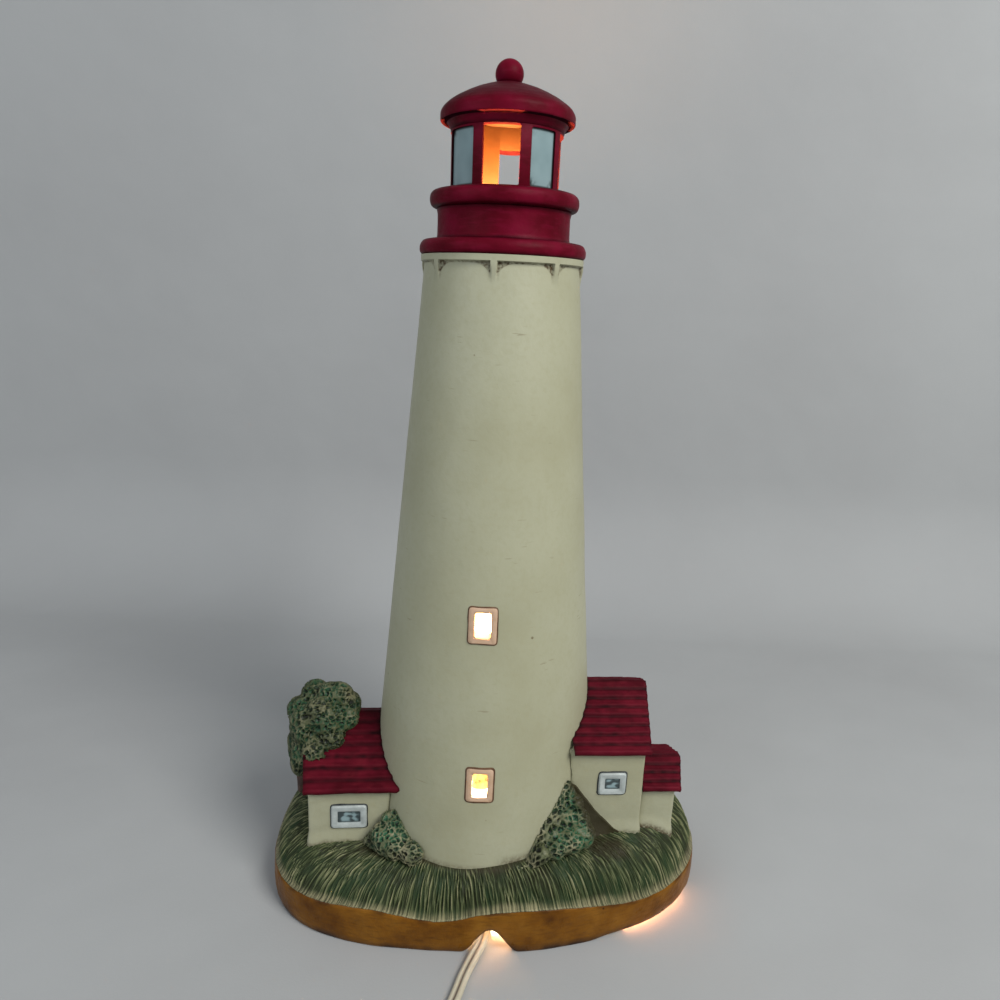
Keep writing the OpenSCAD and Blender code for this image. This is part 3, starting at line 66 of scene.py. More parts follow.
class Paint:
    """A material under construction: small helpers that add and join nodes."""

    def __init__(self, name):
        self.mat = bpy.data.materials.new(name)
        self.mat.use_nodes = True
        self.tree = self.mat.node_tree
        self.shader = self.tree.nodes["Principled BSDF"]
        self.where = self.add("ShaderNodeTexCoord").outputs["Object"]

    def add(self, kind, **settings):
        node = self.tree.nodes.new(kind)
        for key, value in settings.items():
            setattr(node, key, value)
        return node

    def put(self, socket, value):
        if isinstance(value, bpy.types.NodeSocket):
            self.tree.links.new(value, socket)
        elif isinstance(value, (tuple, list)) and len(value) == 3 and socket.type == "RGBA":
            socket.default_value = (*value, 1)
        else:
            socket.default_value = value

    def noise(self, size, detail=3, rough=0.5, stretch=None):
        """Noise whose features are about size millimetres wide."""
        where = self.where
        if stretch:
            move = self.add("ShaderNodeMapping")
            self.put(move.inputs["Vector"], where)
            self.put(move.inputs["Scale"], stretch)
            where = move.outputs[0]
        node = self.add("ShaderNodeTexNoise")
        self.put(node.inputs["Vector"], where)
        self.put(node.inputs["Scale"], 1000 / size)
        self.put(node.inputs["Detail"], detail)
        self.put(node.inputs["Roughness"], rough)
        return node.outputs["Fac"]

    def cells(self, size, feature="F1"):
        node = self.add("ShaderNodeTexVoronoi", feature=feature)
        self.put(node.inputs["Vector"], self.where)
        self.put(node.inputs["Scale"], 1000 / size)
        return node.outputs["Distance"]

    def value(self, name):
        return self.add("ShaderNodeAttribute", attribute_name=name).outputs["Fac"]

    def span(self, value, low, high, to_low=0.0, to_high=1.0):
        node = self.add("ShaderNodeMapRange")
        for socket, v in zip(node.inputs, (value, low, high, to_low, to_high)):
            self.put(socket, v)
        return node.outputs[0]

    def math(self, kind, a, b):
        node = self.add("ShaderNodeMath", operation=kind)
        self.put(node.inputs[0], a)
        self.put(node.inputs[1], b)
        return node.outputs[0]

    def ramp(self, value, stops):
        node = self.add("ShaderNodeValToRGB")
        self.put(node.inputs[0], value)
        ramp = node.color_ramp
        while len(ramp.elements) < len(stops):
            ramp.elements.new(0.5)
        for element, (at, colour) in zip(ramp.elements, stops):
            element.position = at
            element.color = (*colour, 1)
        return node.outputs[0]

    def tones(self, grain, low, high, colours):
        """Colours spread evenly over a noise."""
        share = self.span(self.noise(*grain), low, high)
        return self.ramp(share, [(k / (len(colours) - 1), colour) for k, colour in enumerate(colours)])

    def mix(self, share, a, b):
        node = self.add("ShaderNodeMix", data_type="RGBA")
        self.put(node.inputs[0], share)
        self.put(node.inputs[6], a)
        self.put(node.inputs[7], b)
        return node.outputs[2]

    def bump(self, *layers):
        """Each layer is a height from 0 to 1 and its depth in millimetres."""
        normal = None
        for height, depth in layers:
            node = self.add("ShaderNodeBump")
            self.put(node.inputs["Strength"], 1.0)
            self.put(node.inputs["Distance"], depth / 1000)
            self.put(node.inputs["Height"], height)
            if normal is not None:
                self.put(node.inputs["Normal"], normal)
            normal = node.outputs[0]
        self.put(self.shader.inputs["Normal"], normal)

    def finish(self, colour, rough, spread=0.06, coat=0.0, sheen=0.0, gloss=0.5, metal=0.0):
        self.put(self.shader.inputs["Base Color"], colour)
        self.put(self.shader.inputs["Roughness"],
                 self.span(self.noise(6, 4), 0.3, 0.7, rough - spread, rough + spread))
        for key, value in {"Specular IOR Level": gloss, "Coat Weight": coat, "Coat Roughness": 0.3,
                           "Sheen Weight": sheen, "Metallic": metal}.items():
            self.shader.inputs[key].default_value = value
        return self.mat


def specks(p, size, share):
    """1 inside small round specks, one to each cell of that size."""
    return p.span(p.cells(size), share, share * 0.6)


def cream_paint():
    p = Paint("cream_glaze")
    tone = p.tones((55, 3), 0.35, 0.65,
                   ((0.345, 0.340, 0.225), (0.375, 0.375, 0.258), (0.400, 0.402, 0.285)))
    fine = p.mix(p.span(p.noise(2.5, 3), 0.45, 0.75, 0.0, 0.3), tone, (0.325, 0.315, 0.195))
    spots = p.mix(p.math("MULTIPLY", specks(p, 17, 0.045), p.span(p.noise(40, 1), 0.48, 0.55)),
                  fine, (0.16, 0.13, 0.07))
    scratch = p.math("MULTIPLY", p.span(p.noise(0.9, 1, stretch=(0.10, 0.10, 1.0)), 0.72, 0.76),
                     p.span(p.noise(26, 2), 0.50, 0.60))
    marked = p.mix(p.math("MULTIPLY", scratch, 0.5), spots, (0.20, 0.17, 0.10))
    # Painted shade, brown: in the arcade's corners and where the tower and the cottage walls stand in the
    # ground
    dirt = p.math("MULTIPLY", p.value("dirt"), p.span(p.noise(1.3, 4), 0.30, 0.60, 0.15, 1.0))
    shaded = p.mix(dirt, marked, (0.060, 0.036, 0.012))
    p.bump((p.noise(14, 3), 0.35), (p.noise(0.9, 2), 0.05))
    return p.finish(shaded, 0.5, coat=0.05, gloss=0.3)


def burgundy_paint(name, rough, gloss, tones, light, stain_and_shade):
    p = Paint(name)
    tone = p.tones((16, 4), 0.3, 0.7, tones)
    streak = p.mix(p.span(p.noise(2.2, 4, stretch=(0.35, 0.35, 1.6)), 0.5, 0.8, 0.0, 0.5), tone, light)
    # Painted shade in the grooves and on the dome's top, and on the roofs also a mottled stain, where the
    # mesh carries it
    dirt = p.mix(p.value("dirt"), streak, stain_and_shade)
    p.bump((p.noise(5, 3), 0.2), (p.noise(0.8, 2), 0.05))
    return p.finish(dirt, rough, gloss=gloss)


def ochre_paint():
    p = Paint("ochre_glaze")
    tone = p.ramp(p.span(p.noise(20, 5, 0.6), 0.3, 0.7),
                  [(0, (0.090, 0.031, 0.003)), (0.45, (0.175, 0.068, 0.006)), (1, (0.250, 0.108, 0.012))])
    streak = p.mix(p.span(p.noise(3, 4, stretch=(0.5, 0.5, 2.5)), 0.5, 0.8, 0.0, 0.55),
                   tone, (0.070, 0.026, 0.004))
    spots = p.mix(specks(p, 11, 0.07), streak, (0.030, 0.011, 0.004))
    # Painted shade along the rim's top edge under the grass and along its foot
    dirt = p.mix(p.value("dirt"), spots, (0.035, 0.014, 0.005))
    p.bump((p.noise(6, 4), 0.5), (p.noise(1.1, 3), 0.12))
    return p.finish(dirt, 0.36, 0.1, coat=0.02, gloss=0.11)


def grass_paint():
    """Brushed blades: the mesh carries the broad ones, and noise drawn out along them the fine ones."""
    p = Paint("grass_glaze")
    blade = p.add("ShaderNodeTexNoise")
    p.put(blade.inputs["Vector"], p.add("ShaderNodeAttribute", attribute_name="blade").outputs["Vector"])
    p.put(blade.inputs["Scale"], 1.0)
    p.put(blade.inputs["Detail"], 2.5)
    fine = p.span(blade.outputs["Fac"], 0.34, 0.66)
    height = p.math("ADD", p.math("MULTIPLY", p.value("relief"), 0.72),
                    p.span(fine, 0, 1, -0.22, 0.34))
    dark = p.tones((13, 3), 0.35, 0.65,
                   ((0.024, 0.026, 0.009), (0.024, 0.038, 0.013), (0.024, 0.056, 0.020)))
    leaf = p.ramp(height, [(0, (0.006, 0.008, 0.003)), (0.26, (0.026, 0.036, 0.013)),
                           (0.46, (0.070, 0.090, 0.036)), (0.68, (0.160, 0.172, 0.084)),
                           (0.92, (0.290, 0.280, 0.155))])
    blades = p.mix(p.span(height, 0.14, 0.50, 0.70, 0.0), leaf, dark)
    tips = p.mix(p.math("MULTIPLY", p.value("tip"), p.span(height, 0.05, 0.6, 0.15, 0.9)),
                 blades, (0.33, 0.295, 0.170))
    # Earth-brown where the mesh carries earth: bare earth by the bushes, and painted shade at the tower's
    # foot
    earth = p.mix(p.math("MULTIPLY", p.value("earth"), p.span(p.noise(3, 4), 0.3, 0.6, 0.5, 1.0)),
                  tips, (0.034, 0.029, 0.012))
    p.bump((fine, 0.35), (p.noise(1.0, 3), 0.1))
    return p.finish(earth, 0.55, coat=0.03, gloss=0.2)


def leaf_paint(name, greens, rims):
    p = Paint(name)
    height = p.math("ADD", p.value("relief"), p.span(p.noise(1.1, 3), 0.3, 0.7, -0.16, 0.16))
    green = p.tones((10, 3), 0.38, 0.62, greens)
    hole = p.mix(p.span(height, 0.06, 0.34), (0.002, 0.003, 0.001), green)
    rim = p.tones((8, 3), 0.34, 0.66, rims)
    crown = p.mix(p.span(height, 0.48, 0.88), hole, rim)
    earth = p.mix(p.value("earth"), crown, (0.034, 0.029, 0.012))
    p.bump((p.noise(1.0, 3), 0.25))
    return p.finish(earth, 0.48, coat=0.06, gloss=0.25)


def lantern_inside_paint():
    """The lantern's inside: rust-brown glaze, darker towards the bottom as painted shade that evens out the
    lamp's light there.
    """
    p = Paint("lantern_inside_glaze")
    tone = p.mix(p.span(p.noise(8, 4), 0.3, 0.7), (0.034, 0.0125, 0.0034), (0.044, 0.0165, 0.0045))
    place = p.add("ShaderNodeSeparateXYZ")
    p.put(place.inputs[0], p.where)
    # Painted shade: darker towards the bottom, nearest the lamp inside the lantern
    tone = p.mix(p.span(place.outputs["Z"], 0.328, 0.348), (0.016, 0.0038, 0.0010), tone)
    p.bump((p.noise(3, 4), 0.2))
    return p.finish(tone, 0.7, gloss=0.2)


def two_tone(name, grain, light, dark, ridges, depth, rough, spread=0.06, blend=(0.35, 0.7), stain_and_shade=None,
             **shine):
    """Two colours blended by a noise, a third colour where the mesh carries dirt or painted shade, and ridges
    of some depth in millimetres. grain and ridges are the size, detail and more of their noises."""
    p = Paint(name)
    tone = p.mix(p.span(p.noise(*grain), *blend), light, dark)
    if stain_and_shade:
        tone = p.mix(p.value("dirt"), tone, stain_and_shade)
    p.bump((p.noise(*ridges), depth))
    return p.finish(tone, rough, spread, **shine)


def line_paint(name, dark, pale, gloss=0.25):
    return two_tone(name, (3, 4), dark, pale, (1.0, 3), 0.1, 0.5, gloss=gloss)


def plastic(name, colour, rough, depth=0.02, coat=0.0):
    dull = tuple(0.86 * c for c in colour)
    return two_tone(name, (14, 4), colour, dull, (0.7, 3), depth, rough, 0.05, coat=coat)


def metal(name, colour, rough):
    dull = tuple(0.8 * c for c in colour)
    return two_tone(name, (9, 4), colour, dull, (1.2, 3, 0.5, (1, 1, 12)), 0.02, rough, 0.1, metal=1.0)


def lit_glass():
    """Frosted bulb glass that glows, brighter at its middle."""
    p = Paint("bulb_glass")
    tone = p.mix(p.span(p.noise(5, 3), 0.3, 0.7), (1.0, 0.86, 0.62), (1.0, 0.80, 0.52))
    p.put(p.shader.inputs["Emission Color"], (1.0, 0.62, 0.28))
    p.put(p.shader.inputs["Emission Strength"], 6.0)
    return p.finish(tone, 0.3, 0.05)


PAINTS = {
    "cream": cream_paint(), "ochre": ochre_paint(), "grass": grass_paint(), "smoked": lantern_inside_paint(),
    # The last colour of burgundy and tile is their painted shade in grooves and creases, with a mottled stain
    # on the roofs
    "burgundy": burgundy_paint("burgundy_glaze", 0.46, 0.05,
                               ((0.064, 0.0012, 0.005), (0.108, 0.0018, 0.011), (0.150, 0.003, 0.019)),
                               (0.170, 0.005, 0.026), (0.020, 0.0008, 0.003)),
    "tile": burgundy_paint("tile_glaze", 0.55, 0.06,
                           ((0.056, 0.0028, 0.007), (0.092, 0.0044, 0.012), (0.135, 0.0075, 0.018)),
                           (0.155, 0.013, 0.022), (0.016, 0.0022, 0.0035)),
    # A darker matt red for the lantern's jambs, which on the brim's underside is painted shade
    "matt_red_and_shade": line_paint("matt_red_and_shade_glaze", (0.030, 0.0050, 0.0085), (0.022, 0.0036, 0.0060), 0.0),
    "leaf": leaf_paint("leaf_glaze", ((0.020, 0.026, 0.009), (0.018, 0.052, 0.022), (0.022, 0.110, 0.052)),
                       ((0.070, 0.082, 0.034), (0.130, 0.142, 0.075), (0.290, 0.270, 0.165))),
    "tree": leaf_paint("tree_glaze", ((0.016, 0.020, 0.007), (0.016, 0.036, 0.014), (0.020, 0.075, 0.034)),
                       ((0.050, 0.058, 0.025), (0.090, 0.098, 0.047), (0.170, 0.165, 0.092))),
    "white": two_tone("white_glaze", (4, 4), (0.47, 0.52, 0.51), (0.34, 0.38, 0.37), (1.5, 3), 0.12, 0.45,
                      stain_and_shade=(0.070, 0.060, 0.045), coat=0.05, gloss=0.3),
    # Cream tinted warm orange: painted glow of the bulb's light round the lit windows
    "border": two_tone("window_border", (4, 4), (0.58, 0.40, 0.28), (0.50, 0.33, 0.21), (1.5, 3), 0.12, 0.45,
                       stain_and_shade=(0.12, 0.060, 0.030), coat=0.05, gloss=0.3),
    "line": line_paint("window_outline", (0.070, 0.030, 0.014), (0.150, 0.080, 0.042)),
    "ink": line_paint("ink_outline", (0.020, 0.024, 0.026), (0.070, 0.078, 0.078)),
    "pane": two_tone("pane_glaze", (16, 2), (0.185, 0.270, 0.285), (0.260, 0.365, 0.385), (1.5, 2), 0.06,
                     0.34, blend=(0.35, 0.65), stain_and_shade=(0.008, 0.010, 0.010), coat=0.12, gloss=0.35),
    "earth": two_tone("soil_glaze", (4, 5), (0.030, 0.012, 0.008), (0.080, 0.035, 0.022), (1.5, 4), 0.4, 0.6,
                      blend=(0.3, 0.7)),
    "clay": two_tone("bare_clay", (12, 4), (0.66, 0.53, 0.40), (0.74, 0.62, 0.48), (4, 4), 0.3, 0.85,
                     blend=(0.3, 0.7)),
    # The cord's last colour is painted shade in the groove between its cores
    "cord": two_tone("ivory_cord", (9, 4), (0.60, 0.56, 0.44), (0.50, 0.455, 0.34), (1.2, 3), 0.03, 0.42,
                     stain_and_shade=(0.085, 0.055, 0.042)),
    "ivory": plastic("ivory_plastic", (0.62, 0.58, 0.46), 0.32, coat=0.15),
    "black": plastic("socket_black", (0.020, 0.019, 0.018), 0.4),
    "wheel": plastic("wheel_plastic", (0.075, 0.058, 0.042), 0.45),
    "pan": plastic("pan_steel", (0.56, 0.55, 0.50), 0.35, depth=0.04, coat=0.2),
    "brass": metal("kit_brass", (0.62, 0.45, 0.20), 0.32),
    "steel": metal("wire_steel", (0.60, 0.60, 0.60), 0.3),
    "felt": two_tone("felt", (0.8, 5, 0.7), (0.035, 0.037, 0.040), (0.075, 0.078, 0.080), (0.5, 4, 0.7), 0.15,
                     0.95, 0.03, blend=(0.3, 0.7), sheen=0.4),
    "bulb": lit_glass(),
}


# Mesh helpers

def wobble(points, size, seed=0.0):
    """Smooth noise from -1 to 1 at each point, its features about size millimetres wide."""
    shift = Vector((seed, 2.3 * seed, -1.7 * seed))
    return np.array([noise.noise(Vector(p) / size + shift) for p in np.asarray(points, float)])


def shaken(points, reach, size, *seeds):
    """The points moved by smooth noise, with one seed for each axis that they move along."""
    moved = np.array(points, float)
    for axis, seed in enumerate(seeds):
        moved[:, axis] += reach * wobble(points, size, seed)
    return moved


def net(points, size, seed=0.0):
    """0 on the walls between Voronoi cells of that size, growing to about 1 at their middles."""
    shift = Vector((seed, seed, seed))
    near = [noise.voronoi(Vector(p) / size + shift)[0] for p in np.asarray(points, float)]
    return np.array([d[1] - d[0] for d in near])


def smooth(x, low=0.0, high=1.0):
    t = np.clip((np.asarray(x, float) - low) / (high - low), 0, 1)
    return t * t * (3 - 2 * t)


def cos_sin(degrees):
    turn = np.radians(degrees)
    return np.cos(turn), np.sin(turn)


def xyz(x, y, z):
    """Points from coordinates whose shapes fit together."""
    return np.stack(np.broadcast_arrays(x, y, z), -1)


def new_mesh(name, points, faces):
    mesh = bpy.data.meshes.new(name)
    mesh.from_pydata((np.asarray(points, float) / 1000).tolist(), [], faces)
    return mesh


def outward(mesh):
    """Turns the mesh's normals outwards."""
    shape = bmesh.new()
    shape.from_mesh(mesh)
    bmesh.ops.recalc_face_normals(shape, faces=shape.faces)
    shape.to_mesh(mesh)
    shape.free()
    return mesh


def piece(name, points, faces, paint, nodes=(), sharp=38, body="lighthouse", **values):
    """A closed mesh that rides on a body, with the values that its paint reads at each point."""
    mesh = new_mesh(name, points, faces)
    for key, value in values.items():
        note(mesh, key, value)
    return placed(name, mesh, paint, nodes, sharp, body)


def note(mesh, key, value):
    """Keeps a number, or three, on each point of the mesh for its paint."""
    value = np.asarray(value, np.float32)
    if value.ndim == 2:
        mesh.attributes.new(key, "FLOAT_VECTOR", "POINT").data.foreach_set("vector", value.ravel())
    else:
        mesh.attributes.new(key, "FLOAT", "POINT").data.foreach_set("value", value)


def placed(name, mesh, paint, nodes=(), sharp=38, body="lighthouse"):
    """The object for a mesh. paint is one key or several, and the first one gives the slot."""
    outward(mesh)
    mesh.shade_smooth()
    mesh.set_sharp_from_angle(angle=math.radians(sharp))
    mesh.materials.clear()
    keys = paint if isinstance(paint, tuple) else (paint,)
    for key in keys:
        mesh.materials.append(PAINTS[key])
    obj = bpy.data.objects.new(name, mesh)
    scene.collection.objects.link(obj)
    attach(obj, body)
    if nodes:
        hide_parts(*nodes)
    return obj


def loop_faces(count, size, closed=True):
    """Quads of closed sections of that size, joined in a ring or in an open row with caps."""
    faces = []
    for i in range(count if closed else count - 1):
        a, b = i * size, ((i + 1) % count) * size
        faces += [(a + j, b + j, b + (j + 1) % size, a + (j + 1) % size) for j in range(size)]
    if not closed:
        faces += [tuple(range(size)), tuple(range((count - 1) * size, count * size))]
    return faces


def with_modifier(mesh, kind, **settings):
    """The mesh after one modifier, as a new mesh."""
    obj = bpy.data.objects.new("scratch", mesh)
    scene.collection.objects.link(obj)
    modifier = obj.modifiers.new("m", kind)
    for key, value in settings.items():
        setattr(modifier, key, value)
    bpy.context.view_layer.update()
    result = bpy.data.meshes.new_from_object(
        obj.evaluated_get(bpy.context.evaluated_depsgraph_get()))
    bpy.data.objects.remove(obj)
    return result


def positions(mesh):
    co = np.zeros(len(mesh.vertices) * 3)
    mesh.vertices.foreach_get("co", co)
    return co.reshape(-1, 3) * 1000


def normals(mesh):
    co = np.zeros(len(mesh.vertices) * 3)
    mesh.vertex_normals.foreach_get("vector", co)
    return co.reshape(-1, 3)


def move_to(mesh, points):
    mesh.vertices.foreach_set("co", (points / 1000).ravel())
    mesh.update()


def remeshed(node, voxel, relax=4, lobes=()):
    """A finer copy of a CAD node's mesh, with lobes of a middle and radii, and softened edges."""
    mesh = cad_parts[node].data.copy()
    if lobes:
        shape = bmesh.new()
        shape.from_mesh(mesh)
        for at, size in lobes:
            bmesh.ops.create_icosphere(
                shape, subdivisions=3, radius=0.001,
                matrix=Matrix.Translation(Vector(at) / 1000) @ Matrix.Diagonal((*size, 1)))
        shape.to_mesh(mesh)
        shape.free()
    mesh = with_modifier(mesh, "REMESH", mode="VOXEL", voxel_size=voxel / 1000)
    return with_modifier(mesh, "SMOOTH", factor=0.5, iterations=relax)


# The island's outline, as in the source

GRASS_LINE = ([-180, -150, -127, -108, -85, -60, -32, 0, 60, 90, 130, 180],
              [-3, -1.8, 2.4, -3.6, 4.2, 3.6, -2.6, -1.6, 0.6, -2, 1.6, -3])
SOIL_LINE = ([-180, -140, -115, -90, -60, -25, 0, 60, 90, 140, 180],
             [-3.2, -4, 0, 3.2, 3.8, 3.6, 4, 1, 0.5, -2, -3.2])
BULGES = ([0, 12, 20, 31, 45, 57, 70, 90, 108, 120, 135, 145, 152, 165, 180],
          [-0.5, 2, 2.6, 1.4, -2, -2.2, -1, 0, 0.6, 1.2, 2.2, 2, 0.8, -1.2, 0.3])
BASE_HALF_X, BASE_HALF_Y, BASE_WALL = 108, 68, 5.0
RIM_H, SOIL_RISE, BANK_W = 18.6, 18.0, 7.0
TOWER_H, TOWER_TOP_R, TOWER_FOOT_R, TOWER_WALL = 302.0, 33.1, 56.3, 5.0


def soft(table, a, step, mirrored=False):
    """The table's value at an angle, softened over a step to both sides."""
    near = [np.interp(np.abs(v) if mirrored else v, *table) for v in (a - step, a, a, a + step)]
    return sum(near) / 4


def base_r(a, inset=0.0):
    c, s = np.abs(cos_sin(a))
    n = 2.5 - 0.6 * np.cos(np.radians(a))
    round_r = ((c / (BASE_HALF_X - inset)) ** n + (s / (BASE_HALF_Y - inset)) ** n) ** (-1 / n)
    return round_r + soft(BULGES, a, 6, mirrored=True)


def rim_top(a):
    return RIM_H + soft(GRASS_LINE, a, 8)


def soil_top(a):
    return RIM_H + SOIL_RISE + soft(SOIL_LINE, a, 8)


def bank_z(a, d):
    return rim_top(a) + (soil_top(a) - rim_top(a)) * (1 - np.exp(-d / BANK_W))


def tower_r(z):
    return TOWER_TOP_R + (TOWER_FOOT_R - TOWER_TOP_R) * (TOWER_H - z) / (TOWER_H - RIM_H - SOIL_RISE)


def ground_at(x, y):
    """Height of the grass at a point of the island, in its own frame."""
    a = np.degrees(np.arctan2(y, x))
    return bank_z(a, np.maximum(0, base_r(a, 1) - np.hypot(x, y)))


# Base rim

def make_rim():
    n, notch_x, notch_half, notch_h = 900, 3.4, 13.5, 12
    a = -180 + np.arange(n) * 360 / n
    c, s = cos_sin(a)
    r, top = base_r(a), rim_top(a) - 0.15
    off = np.clip(np.abs(r * c - notch_x) / notch_half, 0, 1)
    low = np.where(s < 0, notch_h * (1 + np.cos(np.pi * off)) / 2, 0)
    # The fired base is not quite flat: it stands a little off the table at its right front
    low = low + 1.7 * smooth(a, -52, -40) * (1 - smooth(a, -16, -4))
    # Each row of the section: its place out from the outline, share of the height and shift up
    rows = [(-1.6, 0, 0.0), (-0.6, 0, 0.35), (-0.1, 0, 1.3), (0.15, 0.22, 0), (0.3, 0.4, 0),
            (0.3, 0.58, 0), (0.15, 0.74, 0), (0.0, 0.88, 0), (-0.25, 1, -0.9), (-0.8, 1, -0.25),
            (-1.6, 1, 0), (-3.2, 1, 0), (-BASE_WALL, 1, 0), (-BASE_WALL, 0.5, 0), (-BASE_WALL, 0, 0.4),
            (-BASE_WALL + 0.6, 0, 0), (-3.2, 0, 0)]
    out, share, shift = np.array(rows).T
    z = low[:, None] + share * (top - low)[:, None] + shift
    reach = r[:, None] + out
    points = xyz(reach * c[:, None], reach * s[:, None], z).reshape(-1, 3)
    lump = 0.35 * wobble(points, 14, 3) + 0.15 * wobble(points, 4, 5)
    outer = np.tile([0.2, 0.7, 1, 1, 1, 1, 1, 1, 1, 0.7, 0.3] + [0] * 6, n)
    move = (lump - 0.15) * outer
    points[:, 0] += move * np.repeat(c, len(rows))
    points[:, 1] += move * np.repeat(s, len(rows))
    # Painted shade along the top edge under the grass's lip and along the foot, broken up by noise
    edge = np.tile(np.where((share == 1) | (share == 0), 1.0, 0.12), n)
    dirt = 0.75 * smooth(wobble(points, 9, 8), -0.1, 0.5) * edge + 0.35 * np.tile(share == 0, n)
    piece("rim_glaze", points, loop_faces(n, len(rows)), "ochre", ["base_rim"], dirt=np.clip(dirt, 0, 1))


# Grass

def make_grass():
    n, m = 1960, 52
    a = -180 + np.arange(n) * 360 / n
    c, s = cos_sin(a)
    edge_r = base_r(a, 1)
    edge = np.stack([edge_r * c, edge_r * s], -1)
    arc = np.concatenate([[0], np.cumsum(np.hypot(*np.diff(edge, axis=0).T))])
    whole = arc[-1] + np.hypot(*(edge[0] - edge[-1]))
    foot = tower_r(38.0) + 0.1
    inner = np.stack([TOWER_X + foot * c, foot * s], -1)
    # Points lie at a share of the way in; d is their distance from the edge, gap from the tower's foot
    share = (np.arange(m) / (m - 1)) ** 1.25
    flat = edge[:, None] + share[None, :, None] * (inner - edge)[:, None]
    d = share[None, :] * np.hypot(*(inner - edge).T)[:, None]
    z = bank_z(a[:, None], d)
    slope = (soil_top(a) - rim_top(a))[:, None] / BANK_W * np.exp(-d / BANK_W)
    up = 1 / np.sqrt(1 + slope ** 2)
    out = slope * up
    gap = np.hypot(flat[..., 0] - TOWER_X, flat[..., 1]) - foot

    # Brushed blades: two sets of ridges that run downhill, bent and broken by noise
    at = xyz(edge[:, :1], edge[:, 1:], 1.5 * d).reshape(-1, 3)
    sway = (wobble(at, 24, 1) * 1.5 + wobble(at, 8, 2) * 0.55).reshape(n, m)
    turns = arc[:, None] / whole
    wave_a = (0.5 + 0.5 * np.cos(TAU * (turns * round(whole / 2.1) + sway + 0.03 * d))) ** 1.4
    wave_b = (0.5 + 0.5 * np.cos(TAU * (turns * round(whole / 1.6) - 1.2 * sway - 0.045 * d))) ** 1.6
    cut = at * [1, 1, 0.3]
    force_a = np.clip(0.62 + 0.75 * wobble(cut, 3.0, 4), 0.1, 1.1).reshape(n, m)
    force_b = np.clip(0.48 + 0.85 * wobble(cut, 2.4, 6), 0.0, 1.0).reshape(n, m)
    relief = np.maximum(wave_a * force_a, wave_b * force_b)
    depth = 1.35 * smooth(d, 0.1, 1.8) * (0.5 + 0.5 * (1 - smooth(d, 16, 32))) * smooth(gap, 0.2, 3.5)
    lift = (relief - 0.62) * depth
    lump = 0.5 * wobble(at, 16, 9).reshape(n, m) * smooth(d, 1, 6) * smooth(gap, 0, 4)
    lift = lift + lump * 0.6
    x = flat[..., 0] + lift * out * c[:, None]
    y = flat[..., 1] + lift * out * s[:, None]
    top_z = z + lift * up

    # The lip over the rim, wavy and thick like a brushed-down edge
    tip = 0.35 * wobble(at, 5, 12).reshape(n, m)[:, 0] + 0.3 * (relief[:, 2] - 0.5)
    lips = [(-1.6, -0.30), (-0.2, -0.55), (0.35, -0.45), (0.55, -0.05)]
    lip_points = [xyz((edge_r + dr + 0.3 * tip) * c, (edge_r + dr + 0.3 * tip) * s,
                      rim_top(a) + dz - 0.5 * tip * (k > 0)) for k, (dr, dz) in enumerate(lips)]
    under = [xyz(flat[:, j, 0], flat[:, j, 1], np.maximum(z[:, j] - 3.8, rim_top(a) + 0.1))
             for j in (m - 1, 34, 22, 14)]
    rows = lip_points + [xyz(x[:, j], y[:, j], top_z[:, j]) for j in range(1, m)] + under
    size = len(rows)
    points = np.stack(rows, 1).reshape(-1, 3)

    def by_row(lip, top, low):
        """One value for the rows of the lip, one for each point on top and one underneath."""
        return np.concatenate([np.broadcast_to(lip, (n, len(lips))), top[:, 1:],
                               np.full((n, len(under)), low)], 1).ravel()

    def patch(at_x, at_y, half_x, half_y, core, force):
        away = np.hypot((flat[..., 0] - at_x) / half_x, (flat[..., 1] - at_y) / half_y)
        return (1 - smooth(away, core, 1.1)) * force

    # Earth-brown painted shade at the tower's foot, and bare earth beside the bushes at the cottages' corners
    near = 1 - smooth(gap + 1.2 * sway, 0.4, 3.2)
    corners = np.maximum(patch(57, -41, 14, 6, 0.45, 0.95), patch(-52, -44, 10, 5, 0.5, 0.7))
    earth = np.maximum(near, corners)
    turn = TAU * (turns + 0.6 * sway / whole)
    across = whole / TAU / 0.65
    blade = xyz(across * np.cos(turn), across * np.sin(turn), d / 9)
    blade = np.concatenate([np.repeat(blade[:, :1], len(lips), 1), blade[:, 1:],
                            np.repeat(blade[:, -1:], len(under), 1)], 1).reshape(-1, 3)
    piece("grass", points, loop_faces(n, size), "grass", ["grass_skirt", "soil_bed"], 80, blade=blade,
          relief=by_row((relief[:, 2:3] * 0.5 + 0.3) * [0, 0.2, 1, 1], relief, 0.4),
          tip=by_row([0, 0.1, 1, 1], 1 - smooth(d + 0.5 * sway, 0.1, 1.7), 0.0),
          earth=by_row(0.0, earth, 1.0))


# Tower

# The lantern: its heights, its radii, its windows and its paints: burgundy outside, a rust-brown inside, and
# a darker matt red on the jambs that is painted shade on the brim's underside
RAIL_Z, ROOM_Z, BRIM_Z = 320.8, 327.9, 351.0
ROOM_R, ROOM_BORE, WELL_R, INSIDE_R = 23.4, 19.8, 24, 20.5
WINDOW_Z, WINDOW_H, WINDOW_HALF = 339.45, 21.5, 18.5
LANTERN_PAINTS = ("burgundy", "smoked", "matt_red_and_shade")
# The lantern and the arcade under it share one turn about the axis
ROOM_TURN = -5


